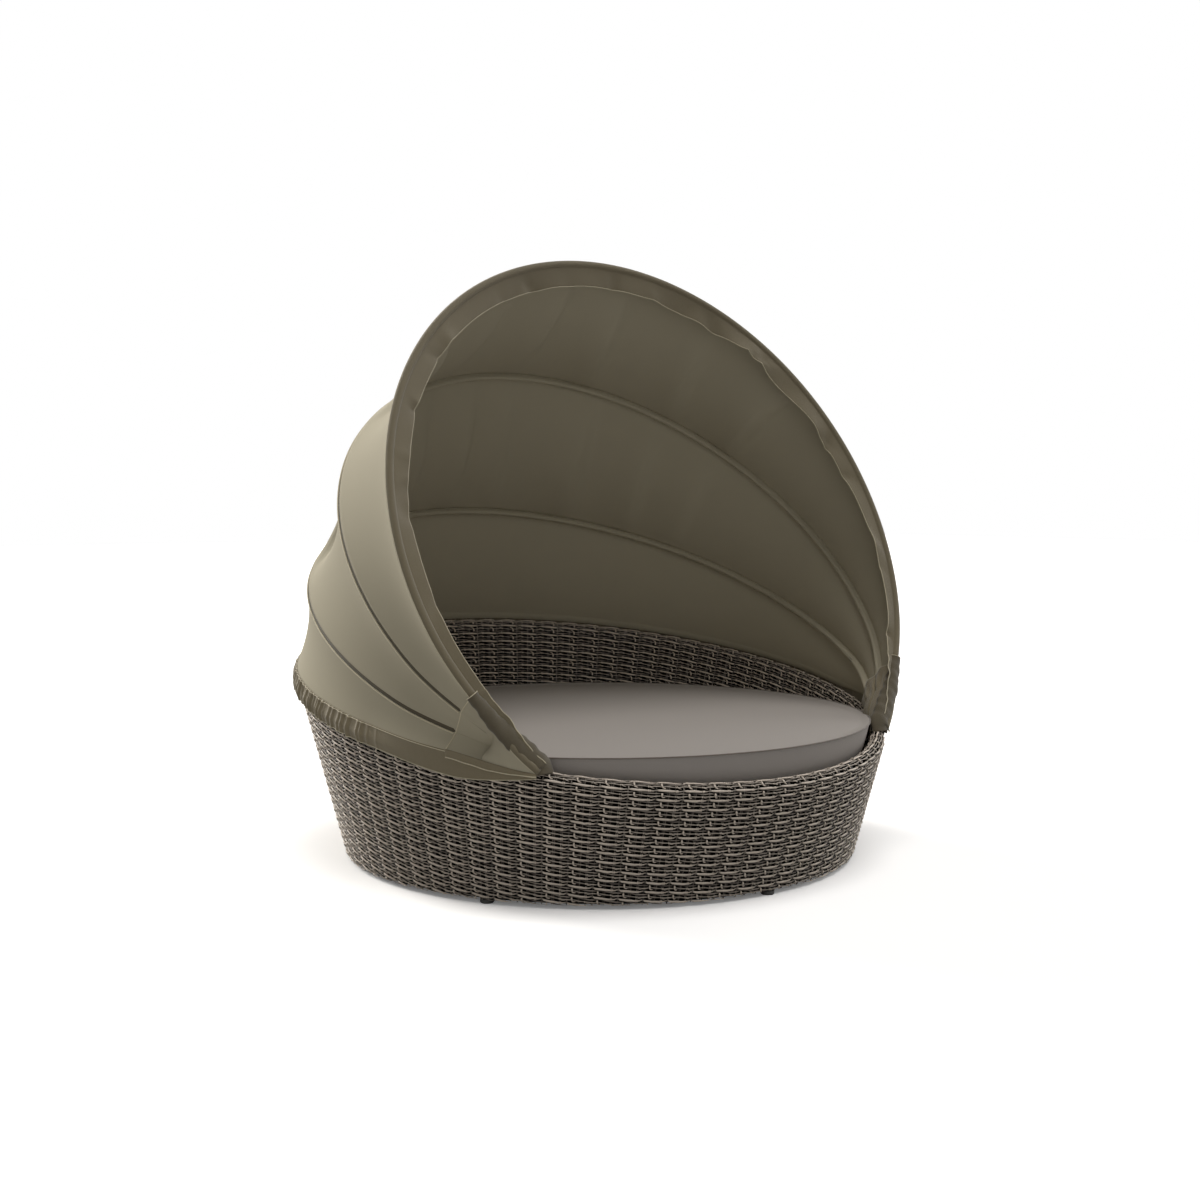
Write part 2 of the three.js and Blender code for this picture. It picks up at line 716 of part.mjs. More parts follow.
// The share of its full depth that a band has at a turn, when it narrows towards both its tips
function narrowing(turn, sweep, taper, tipShare) {
  const fromTip = THREE.MathUtils.clamp((sweep - Math.abs(turn)) / taper, 0, 1);
  return tipShare + (1 - tipShare) * Math.sin((Math.PI * fromTip) / 2);
}

// The facing that hangs inwards from the front hoop, in the hoop's own plane
function addFrontHem() {
  const front = hoops[2];
  const angle = THREE.MathUtils.degToRad(front.angle);
  const taper = THREE.MathUtils.degToRad(hemTaperAngle);
  const top = -hoopTubeRadius - hemLift;
  const pointAt = (share, inwards) => {
    const turn = hoopSweep * (2 * share - 1);
    const depth = hemDepth * narrowing(turn, hoopSweep, taper, hemTipShare);
    return canopyPoint(front.place, turn, top - depth * inwards, angle);
  };
  addPiece('front_hem', clothSheet(pointAt, hoopSteps, 1), canopyCloth);
}

// The gathered skirt that hangs over the outside of the rim, from hinge to hinge round the back
function addSkirt() {
  const sweep = THREE.MathUtils.degToRad(skirtEndAngle);
  const taper = THREE.MathUtils.degToRad(skirtTaperAngle);
  const pointAt = (share, down) => {
    const turn = sweep * (2 * share - 1);
    const depth = skirtDepth * narrowing(turn, sweep, taper, skirtTipShare);
    const drop = skirtTopDrop + depth * down;
    const gather = (gatherDepth * (1 + Math.cos(2 * Math.PI * gatherCount * share))) / 2;
    return rimClothPoint(turn, drop, skirtStandoff + gather * down);
  };
  addPiece('skirt', clothSheet(pointAt, skirtColumns, 1), canopyCloth);
}

// The corner patches: from the foot of the three panels down to the rim's shoulder over the hinge
function addCornerPatches() {
  const [rear, , front] = hoops;
  const high = THREE.MathUtils.degToRad(front.angle);
  const low = THREE.MathUtils.degToRad(rear.angle);
  const tip = THREE.MathUtils.degToRad(skirtEndAngle);
  const inner = hoopSweep + clothSeamGap / rimHalfDepth;
  const pointAt = (share, down) => {
    const angle = high + (low - high) * share;
    const place = front.place + (rear.place - front.place) * share;
    const head = canopyPoint(place, hoopSweep, clothOffset, angle);
    const pull = new THREE.Vector3(0, hingeY - head.y, hingeZ - head.z).normalize();
    head.addScaledVector(pull, clothSeamGap);
    const foot = rimClothPoint(tip + (inner - tip) * share, skirtTopDrop - clothSeamGap);
    return head.lerp(foot, down);
  };
  for (const [side, sign] of Object.entries({ left: -1, right: 1 })) {
    const patch = clothSheet(pointAt, patchColumns, patchRows).scale(sign, 1, 1);
    addPiece(`corner_patch_${side}`, patch, canopyCloth);
  }
}

addFeet();
addFrame();
addWeave();
addRimBraid();
addDeck();
addCushion();
addHinges();
addHoops();
addPanels();
addFrontHem();
addSkirt();
addCornerPatches();

export default daybed;
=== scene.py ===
"""A round woven daybed under a folding canopy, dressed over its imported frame. Metres, +Z up."""
import logging
import math
from dataclasses import dataclass
from enum import Enum

import bpy
import numpy as np
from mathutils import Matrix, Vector


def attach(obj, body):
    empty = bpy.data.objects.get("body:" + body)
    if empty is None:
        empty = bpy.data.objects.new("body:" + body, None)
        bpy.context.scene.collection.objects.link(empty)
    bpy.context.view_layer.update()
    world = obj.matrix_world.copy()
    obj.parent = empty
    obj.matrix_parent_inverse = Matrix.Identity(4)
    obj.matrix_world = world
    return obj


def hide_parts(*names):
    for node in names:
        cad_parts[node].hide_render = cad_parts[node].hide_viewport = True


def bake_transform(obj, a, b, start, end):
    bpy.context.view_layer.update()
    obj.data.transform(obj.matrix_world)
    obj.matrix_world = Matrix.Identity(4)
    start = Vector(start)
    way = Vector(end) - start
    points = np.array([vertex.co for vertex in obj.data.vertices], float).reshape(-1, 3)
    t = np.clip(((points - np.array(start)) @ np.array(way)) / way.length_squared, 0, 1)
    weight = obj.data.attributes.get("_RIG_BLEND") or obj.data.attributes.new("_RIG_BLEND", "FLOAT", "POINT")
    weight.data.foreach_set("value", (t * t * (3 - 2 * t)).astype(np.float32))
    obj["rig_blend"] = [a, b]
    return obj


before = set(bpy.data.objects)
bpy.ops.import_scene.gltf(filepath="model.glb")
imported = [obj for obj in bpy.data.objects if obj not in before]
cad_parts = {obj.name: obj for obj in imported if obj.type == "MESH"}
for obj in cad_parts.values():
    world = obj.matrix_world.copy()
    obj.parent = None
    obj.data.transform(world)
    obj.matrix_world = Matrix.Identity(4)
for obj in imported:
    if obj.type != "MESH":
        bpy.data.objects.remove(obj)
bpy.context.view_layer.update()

Array = np.ndarray
Colour = tuple[float, float, float, float]
UP = np.array((0.0, 0.0, 1.0))
MIRROR = np.array((-1.0, 1.0, 1.0))
MM = 0.001
log = logging.getLogger("daybed")


# Small sums shared by the shapes


def ease(share: Array) -> Array:
    """Three times the square less twice the cube, of a share held between nought and one."""
    held = np.clip(share, 0.0, 1.0)
    return held * held * (3.0 - 2.0 * held)


def bell(distance: Array) -> Array:
    """One in the middle, falling off to both sides as the exponent of minus the square."""
    return np.exp(-distance * distance)


def crease(distance: Array) -> Array:
    """One on a line, falling off to both sides as the exponent of minus the distance."""
    return np.exp(-np.sqrt(distance * distance + 0.02))


def unit(vectors: Array) -> Array:
    """Each vector divided by its own length."""
    return vectors / np.maximum(np.linalg.norm(vectors, axis=-1, keepdims=True), 1e-12)


def beyond(turn: Array, start: float, run: float) -> Array:
    """Eased from nought to one over a run of angle past a start, to both sides, in degrees."""
    return ease((np.abs(turn) - math.radians(start)) / math.radians(run))


def between(first: Array, second: Array, share: Array) -> Array:
    """The first times one less the share, plus the second times the share."""
    return first * (1 - share) + second * share


def way_along(path: Array) -> Array:
    """How far along a line each of its points lies: the sum of the steps before it."""
    return np.cumsum(np.linalg.norm(np.diff(path, axis=0, prepend=path[:1]), axis=1))


def tube_uv(along: Array, around: Array) -> Array:
    """Flat places of a tube's points: each section's way along with each corner's way round."""
    return np.stack((np.repeat(along, len(around)), np.tile(around, len(along))), -1)


def grid_faces(rows: int, columns: int, wrap_rows: bool = False,
               wrap_columns: bool = False) -> Array:
    """Quads between neighbours of a grid whose point (i, j) has the number i times columns plus j.

    Args:
        rows: Number of points one way.
        columns: Number of points the other way.
        wrap_rows: Whether the last row joins the first.
        wrap_columns: Whether the last column joins the first.

    Returns:
        The corner numbers, four to a face.
    """
    i, j = np.meshgrid(
        np.arange(rows if wrap_rows else rows - 1),
        np.arange(columns if wrap_columns else columns - 1),
        indexing="ij",
    )
    below, beside = (i + 1) % rows, (j + 1) % columns
    corners = (i * columns + j, i * columns + beside, below * columns + beside, below * columns + j)
    return np.stack(corners, -1).reshape(-1, 4)


def grid_normals(points: Array) -> Array:
    """The unit normal at each point of a grid: the cross of its two central differences."""
    return unit(np.cross(np.gradient(points, axis=0), np.gradient(points, axis=1)))


def grid_area(points: Array) -> float:
    """The sum of half the cross product of the two diagonals of each cell."""
    first = points[1:, 1:] - points[:-1, :-1]
    second = points[:-1, 1:] - points[1:, :-1]
    return float(np.linalg.norm(np.cross(first, second), axis=-1).sum() / 2)


def run_length(points: Array, axis: int) -> float:
    """The longest line of the grid one way: the greatest sum of the steps between neighbours."""
    steps = np.linalg.norm(np.diff(points, axis=axis), axis=-1)
    return float(steps.sum(axis=axis).max())


@dataclass
class Shape:
    """Points and faces on their way to a mesh, with what the finish reads from them."""

    points: Array
    faces: Array
    uv: Array | None = None
    tone: Array | None = None

    def with_mirror_image(self) -> "Shape":
        """The shape and its mirror image across the middle plane, whose faces are turned back.

        Returns:
            The two as one shape.
        """
        return Shape(
            np.concatenate((self.points, self.points * MIRROR)),
            np.concatenate((self.faces, self.faces[:, ::-1] + len(self.points))),
            np.concatenate((self.uv, self.uv)),
        )

    def facing_out(self) -> Array:
        """The faces, turned about when the sum of the volumes under them is negative."""
        a, b, c, d = (self.points[self.faces[:, k]] for k in range(4))
        volume = np.einsum("ij,ij->i", a, np.cross(b, c) + np.cross(c, d)).sum()
        return self.faces if volume >= 0 else self.faces[:, ::-1]

    def mesh(self, name: str) -> bpy.types.Object:
        """Put the shape into a mesh on an object at the origin.

        Args:
            name: The piece's name.

        Returns:
            The new object, smooth shaded.
        """
        faces = self.facing_out()
        mesh = bpy.data.meshes.new(name)
        mesh.vertices.add(len(self.points))
        mesh.vertices.foreach_set("co", self.points.astype(np.float32).ravel())
        mesh.loops.add(faces.size)
        mesh.loops.foreach_set("vertex_index", faces.astype(np.int32).ravel())
        mesh.polygons.add(len(faces))
        mesh.polygons.foreach_set("loop_start", np.arange(0, faces.size, 4, dtype=np.int32))
        mesh.update(calc_edges=True)
        mesh.polygons.foreach_set("use_smooth", np.ones(len(faces), bool))
        if self.uv is not None:
            layer = mesh.uv_layers.new(name="cloth")
            layer.uv.foreach_set("vector", self.uv[faces.ravel()].astype(np.float32).ravel())
        if self.tone is not None:
            values = mesh.attributes.new("tone", "FLOAT", "POINT")
            values.data.foreach_set("value", self.tone.astype(np.float32))
        mesh.validate()
        piece = bpy.data.objects.new(name, mesh)
        bpy.context.scene.collection.objects.link(piece)
        return piece


def shell(points: Array, thickness: float, uv: Array) -> Shape:
    """A sheet with a wall: the grid moved half the thickness either way along its normals.

    Args:
        points: The middle surface, rows by columns by three.
        thickness: The thickness of the cloth.
        uv: The flat place of each point of the grid, in metres.

    Returns:
        A closed shape, its four edges walled with quads.
    """
    rows, columns = points.shape[:2]
    shift = grid_normals(points) * thickness / 2
    count = rows * columns
    inner = grid_faces(rows, columns)
    rim = np.concatenate((
        np.arange(columns),
        np.arange(2, rows + 1) * columns - 1,
        (rows - 1) * columns + np.arange(columns - 2, -1, -1),
        np.arange(rows - 2, 0, -1) * columns,
    ))
    after = np.roll(rim, -1)
    wall = np.stack((rim, rim + count, after + count, after), -1)
    return Shape(
        np.concatenate(((points + shift).reshape(-1, 3), (points - shift).reshape(-1, 3))),
        np.concatenate((inner, inner[:, ::-1] + count, wall)),
        np.concatenate((uv.reshape(-1, 2), uv.reshape(-1, 2))),
    )


def swept(path: Array, side: Array, lift: Array, section: Array, closed: bool) -> Shape:
    """A closed section carried along paths.

    Args:
        path: Middle points, paths by steps by three.
        side: Unit vectors across each path, of the same shape.
        lift: Unit vectors of the section's other axis.
        section: Its corners, as lengths along side and lift; one section, or one to each point.
        closed: Whether each path joins its own start.

    Returns:
        One tube to a path, open at the ends of an open path.
    """
    paths, steps = path.shape[:2]
    sides = section.shape[-2]
    points = (path[:, :, None] + side[:, :, None] * section[..., :1]
              + lift[:, :, None] * section[..., 1:])
    one = grid_faces(steps, sides, wrap_rows=closed, wrap_columns=True)
    faces = (one[None] + (np.arange(paths) * steps * sides)[:, None, None]).reshape(-1, 4)
    return Shape(points.reshape(-1, 3), faces)


def oval(width: Array, height: Array, sides: int) -> Array:
    """The corners of an oval: cosine times half the width, and sine times half the height."""
    turn = 2 * math.pi * (np.arange(sides) + 0.5) / sides
    return np.stack((np.cos(turn) * np.asarray(width)[..., None] / 2,
                     np.sin(turn) * np.asarray(height)[..., None] / 2), -1)


# Finishes


class Nodes:
    """The nodes of one material or world, added by kind and joined by name."""

    MIX_INPUTS = (0, 6, 7)
    MIX_OUTPUT = 2

    def __init__(self, owner: bpy.types.Material | bpy.types.World) -> None:
        """Turn nodes on, and find the plain shader that a material starts with.

        Args:
            owner: The material or world.
        """
        owner.use_nodes = True
        self.owner = owner
        self.tree = owner.node_tree
        self.shader = self.tree.nodes.get("Principled BSDF")

    def feed(self, sockets: list[bpy.types.NodeSocket], values: tuple) -> None:
        """Join or set inputs.

        Args:
            sockets: The inputs.
            values: For each of them a socket to join or a plain value.
        """
        for socket, value in zip(sockets, values):
            if isinstance(value, bpy.types.NodeSocket):
                self.tree.links.new(value, socket)
            else:
                socket.default_value = value

    def put(self, node: bpy.types.Node, **values: object) -> None:
        """Feed the inputs of a node by their names.

        Args:
            node: The node.
            **values: Values or sockets by the input's lower-case name.
        """
        for key, value in values.items():
            wanted = key.replace("_", " ")
            socket = next(s for s in node.inputs if s.name.lower() == wanted and s.enabled)
            self.feed([socket], (value,))

    def add(self, kind: str, settings: dict[str, str] | None = None,
            **values: object) -> bpy.types.Node:
        """Add a node.

        Args:
            kind: The node's type, without the word ShaderNode.
            settings: Its own settings, by name.
            **values: Values or sockets by the input's lower-case name.

        Returns:
            The node.
        """
        node = self.tree.nodes.new("ShaderNode" + kind)
        for key, value in (settings or {}).items():
            setattr(node, key, value)
        self.put(node, **values)
        return node

    def place(self) -> bpy.types.NodeSocket:
        """Each point's place on its own object."""
        return self.add("TexCoord").outputs["Object"]

    def noise(self, place: bpy.types.NodeSocket, scale: float, detail: float,
              roughness: float = 0.5) -> bpy.types.NodeSocket:
        """The value of a noise texture at a place."""
        return self.add("TexNoise", vector=place, scale=scale, detail=detail,
                        roughness=roughness).outputs["Fac"]

    def blend(self, share: object, first: object, second: object) -> bpy.types.NodeSocket:
        """A colour between two, by a share.

        Args:
            share: Nought for the first, one for the second.
            first: A colour, or a socket.
            second: Another.

        Returns:
            The colour's socket.
        """
        node = self.add("Mix", {"data_type": "RGBA"})
        self.feed([node.inputs[k] for k in self.MIX_INPUTS], (share, first, second))
        return node.outputs[self.MIX_OUTPUT]

    def sum(self, operation: str, first: object, second: object) -> bpy.types.NodeSocket:
        """The result of one sum on two values.

        Args:
            operation: The sum's name.
            first: A value, or a socket.
            second: Another.

        Returns:
            The result's socket.
        """
        node = self.add("Math", {"operation": operation})
        self.feed(node.inputs[:2], (first, second))
        return node.outputs[0]

    def weighted(self, *parts: tuple[bpy.types.NodeSocket, float]) -> bpy.types.NodeSocket:
        """The sum of values, each times its weight.

        Args:
            *parts: Each value's socket with its weight.

        Returns:
            The result's socket.
        """
        terms = [self.sum("MULTIPLY", value, weight) for value, weight in parts]
        total = terms[0]
        for term in terms[1:]:
            total = self.sum("ADD", total, term)
        return total

    def bump(self, height: bpy.types.NodeSocket, strength: float, distance: float) -> None:
        """Raise the surface by a height, in the shader's normal."""
        node = self.add("Bump", strength=strength, distance=distance, height=height)
        self.put(self.shader, normal=node.outputs[0])


def colour(red: int, green: int, blue: int) -> Colour:
    """The linear colour of one written in parts of 255: the usual curve of a screen, undone."""
    part = np.array((red, green, blue)) / 255
    linear = np.where(part <= 0.04045, part / 12.92, ((part + 0.055) / 1.055) ** 2.4)
    return (*linear.tolist(), 1.0)


@dataclass(frozen=True)
class Cane:
    """Round woven strands of resin: streaks along them, each of its own tone, with painted shade that is
    paler on top and darker where they sink.
    """

    name: str = "woven_cane"
    dark: Colour = colour(28, 23, 19)
    pale: Colour = colour(222, 209, 194)
    rough: float = 0.42
    gloss: float = 0.4
    darkest_tone: float = 0.22

    def material(self) -> bpy.types.Material:
        """Noise of two sizes and the strand's tone with its painted depth shade set the colour; fine noise
        the bump.

        Returns:
            The material.
        """
        n = Nodes(bpy.data.materials.new(self.name))
        place = n.place()
        cloud = n.noise(place, scale=9.0, detail=3.0)
        streak = n.noise(place, scale=420.0, detail=4.0, roughness=0.65)
        tone = n.add("Attribute", {"attribute_name": "tone"}).outputs["Fac"]
        share = n.sum("ADD", n.sum("SUBTRACT", tone, self.darkest_tone),
                      n.weighted((cloud, 0.16), (streak, 0.28)))
        n.put(n.shader, base_color=n.blend(share, self.dark, self.pale), roughness=self.rough,
              specular_ior_level=self.gloss)
        n.bump(streak, strength=0.35, distance=0.0006)
        return n.owner


@dataclass(frozen=True)
class Cloth:
    """Plain woven cloth: warp and weft as two waves across each other, with soft uneven tone."""

    name: str
    dark: Colour
    pale: Colour
    thread: float = 0.0009
    rough: float = 0.85
    sheen: float = 0.3
    depth: float = 0.0003

    def material(self) -> bpy.types.Material:
        """The two waves follow the cloth's own flat places, which are in metres.

        Returns:
            The material.
        """
        n = Nodes(bpy.data.materials.new(self.name))
        flat = n.add("UVMap", {"uv_map": "cloth"}).outputs["UV"]
        scale = 2 * math.pi / (20 * self.thread)
        warp, weft = (n.add("TexWave", {"bands_direction": way}, vector=flat, scale=scale,
                            distortion=0.6, detail=1.0).outputs["Fac"] for way in "XY")
        weave = n.sum("MULTIPLY", warp, weft)
        place = n.place()
        cloud = n.noise(place, scale=5.0, detail=4.0, roughness=0.6)
        slub = n.noise(place, scale=260.0, detail=2.0)
        share = n.weighted((cloud, 0.5), (slub, 0.3), (weave, 0.2))
        n.put(n.shader, base_color=n.blend(share, self.dark, self.pale), roughness=self.rough,
              sheen_weight=self.sheen, sheen_roughness=0.5)
        n.bump(n.weighted((weave, 1.0), (slub, 0.5)), strength=0.4, distance=self.depth)
        return n.owner


@dataclass(frozen=True)
class Coated:
    """A painted or moulded surface: an even colour broken by fine grain, a little worn."""

    name: str
    dark: Colour
    pale: Colour
    rough: float
    metal: float = 0.0
    grain: float = 600.0
    gloss: float = 0.5
    wear_and_depth_shade: float = 0.2

    def material(self) -> bpy.types.Material:
        """Coarse noise moves the colour and the roughness, fine noise the bump.

        Returns:
            The material.
        """
        n = Nodes(bpy.data.materials.new(self.name))
        place = n.place()
        cloud = n.noise(place, scale=14.0, detail=5.0)
        fine = n.noise(place, scale=self.grain, detail=2.0)
        rough = n.sum("ADD", n.sum("MULTIPLY", cloud, self.wear_and_depth_shade), self.rough - self.wear_and_depth_shade / 2)
        n.put(n.shader, base_color=n.blend(cloud, self.dark, self.pale), roughness=rough,
              metallic=self.metal, specular_ior_level=self.gloss)
        n.bump(fine, strength=0.15, distance=0.0002)
        return n.owner


@dataclass(frozen=True)
class Wood:
    """Sawn slats: grain drawn out along their length, darker in the rings."""

    name: str = "slat_timber"
    dark: Colour = colour(104, 74, 46)
    pale: Colour = colour(166, 130, 90)
    drawn: tuple[float, float, float] = (0.6, 9.0, 9.0)

    def material(self) -> bpy.types.Material:
        """A wave across the slat, bent by noise that is stretched along it.

        Returns:
            The material.
        """
        n = Nodes(bpy.data.materials.new(self.name))
        drawn = n.add("Mapping", vector=n.place(), scale=self.drawn).outputs[0]
        rings = n.add("TexWave", {"bands_direction": "Y"}, vector=drawn, scale=3.0,
                      distortion=9.0, detail=4.0, detail_scale=1.6).outputs["Fac"]
        fibre = n.noise(drawn, scale=60.0, detail=6.0)
        share = n.weighted((rings, 0.6), (fibre, 0.4))
        n.put(n.shader, base_color=n.blend(share, self.dark, self.pale), roughness=0.6)
        n.bump(fibre, strength=0.25, distance=0.0006)
        return n.owner


class Finish(Enum):
    """The finishes of the daybed, each with the slot of the record that it stands for."""

    CANE = ("wicker", Cane())
    # SHADE is painted shade: a near-black finish for the skin that stands for the shade between the strands.
    SHADE = ("wicker", Coated("weave_shade", colour(6, 5, 4), colour(14, 12, 10), 0.95, gloss=0.0))
    TUBE = ("frame_tube", Coated("coated_tube", colour(60, 56, 51), colour(84, 79, 72), 0.5, 0.6))
    HOOP = ("hoop_tube", Coated("hoop_tube", colour(96, 93, 86), colour(124, 120, 112), 0.4, 0.8))
    STEEL = ("steel", Coated("hinge_steel", colour(150, 150, 147), colour(190, 190, 186), 0.35,
                             0.9))
    NYLON = ("nylon", Coated("nylon", colour(34, 33, 31), colour(52, 50, 47), 0.6))
    SLAT = ("slat_wood", Wood())
    CANOPY = ("canopy_cloth", Cloth("canopy_cloth", colour(122, 112, 88), colour(148, 137, 110)))
    # BAND is a darker copy of the canopy cloth: painted shade on the sleeves' bands and in the hem pockets.
    BAND = ("canopy_cloth", Cloth("canopy_band", colour(74, 66, 49), colour(94, 85, 65)))
    # SLEEVE is a slightly darker copy of the canopy cloth: painted shade on the skirt, the corner linings
    # and the patch hem.
    SLEEVE = ("canopy_cloth", Cloth("canopy_sleeve", colour(117, 107, 84), colour(142, 131, 105)))
    # HEM is a darker copy of the canopy cloth: painted shade on the hem.
    HEM = ("canopy_cloth", Cloth("canopy_hem_painted_shade", colour(102, 93, 72), colour(126, 116, 92)))
    # THREAD is pale stitching and piping, and partly a painted highlight along the edges and folds of the
    # cloth.
    THREAD = ("canopy_cloth", Cloth("canopy_thread_and_highlight", colour(196, 186, 158), colour(222, 212, 184),
                                    thread=0.0006))
    CUSHION = ("cushion_cloth", Cloth("cushion_cloth", colour(154, 143, 134), colour(176, 165, 154),
                                      thread=0.0011, rough=0.92))
    # WELT is a darker copy of the cushion cloth: painted shade along the seams.
    WELT = ("cushion_cloth", Cloth("cushion_welt_painted_shade", colour(110, 101, 93), colour(132, 123, 114)))

    @property
    def slot(self) -> str:
        """The record's slot."""
        return self.value[0]

    def material(self) -> bpy.types.Material:
        """The material, made the first time that it is asked for."""
        return bpy.data.materials.get(self.value[1].name) or self.value[1].material()


def dress(piece: bpy.types.Object, finish: Finish, body: str | None = None,
          replaces: tuple[str, ...] = ()) -> bpy.types.Object:
    """Give a new piece its finish, its body and the nodes that it stands for.

    Args:
        piece: The piece, in place.
        finish: What it is finished in.
        body: The body it rides on, or none where it bends between two.
        replaces: The nodes that it stands for.

    Returns:
        The piece.
    """
    piece.data.materials.clear()
    piece.data.materials.append(finish.material())
    if body:
        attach(piece, body)
    if replaces:
        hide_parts(*replaces)
    log.info("%s: %d faces", piece.name, len(piece.data.polygons))
    return piece


# The tub


@dataclass(frozen=True)
class TubShape:
    """The wall between two leaning cones, cut by the tilted plane of the rim."""

    floor_radius: float = 0.731
    lean: float = 0.2646
    rim_height: float = 0.450
    tilt: float = 0.1757
    wall: float = 0.042
    foot: float = 0.0103
    deck: float = 0.253
    shoulder: float = 0.02

    @property
    def rim_radius(self) -> float:
        """Outside of the wall at the height of the rim plane's middle."""
        return self.floor_radius + self.lean * self.rim_height

    @property
    def growth(self) -> float:
        """How much the rim's circle widens towards the back."""
        return self.lean * self.tilt

    @property
    def crown_radius(self) -> float:
        """Half the wall, rounded over at the rim."""
        return self.wall / 2

    @property
    def crown_middle(self) -> float:
        """Radius of the line that the rim is rounded about."""
        return self.rim_radius - (1 + self.lean) * self.crown_radius

    def onto_rim(self, turn: Array, radius: Array, height: Array) -> Array:
        """A level ring carried onto the tilted cone: spread by one over one less growth times sine.

        Args:
            turn: Angle from +X, anticlockwise from above.
            radius: Radius in the level drawing.
            height: Height over the rim plane.

        Returns:
            The points.
        """
        spread = 1 / (1 - self.growth * np.sin(turn))
        x, y = radius * np.cos(turn) * spread, radius * np.sin(turn) * spread
        return np.stack((x, y, self.rim_height + self.tilt * y + height), -1)

    def on_wall(self, turn: Array, run: Array, lift: Array) -> Array:
        """A point by its way over the rim and its lift.

        Round the crown the run is an arc; past it the point goes down the lean of the wall. The
        lift is along the normal, which turns from level to the wall's own over the shoulder.

        Args:
            turn: Angle from +X, anticlockwise from above.
            run: Way from the crown's top, outwards positive.
            lift: Height over the wall's skin.

        Returns:
            The points.
        """
        quarter = self.crown_radius * math.pi / 2
        side = np.sign(run)
        past = np.clip(np.abs(run) - quarter, 0, None)
        arc = np.clip(run, -quarter, quarter) / self.crown_radius
        slope = math.atan(self.lean)
        radius = self.crown_middle + self.crown_radius * np.sin(arc) - math.sin(slope) * past
        height = -self.crown_radius + self.crown_radius * np.cos(arc) - math.cos(slope) * past
        bent = slope * np.clip(past / self.shoulder, 0, 1)
        out = np.where(past > 0, side * np.cos(bent), np.sin(arc))
        up = np.where(past > 0, -side * np.sin(bent), np.cos(arc))
        return self.onto_rim(turn, radius + lift * out, height + lift * up)

    def rim_cloth(self, turn: Array, drop: Array, standoff: Array) -> Array:
        """A point of cloth outside the wall: an ellipse in plan, let out by the standoff.

        Args:
            turn: Angle round from the back.
            drop: Height below the rim plane.
            standoff: Distance from the wall.

        Returns:
            The points.
        """
        outward = standoff - self.lean * drop
        half_depth = self.rim_radius / (1 - self.growth**2)
        half_width = self.rim_radius / math.sqrt(1 - self.growth**2)
        back = half_depth * self.growth
        y = back + (half_depth + outward) * np.cos(turn)
        x = (half_width + outward) * np.sin(turn)
        return np.stack((x, y, self.rim_height + self.tilt * y - drop), -1)


class Run(Enum):
    """How a strand goes through the cells of the weave."""

    ROUND = "round"
    DOWN = "down"
    SHORT = "short"


@dataclass(frozen=True)
class Strand:
    """One strand of the cell: knots of (share across, share down, lift in millimetres, breadth)."""

    name: str
    run: Run
    width: float
    thickness: float
    tone: float
    knots: tuple[tuple[float, float, float, float], ...]
    sides: int = 4


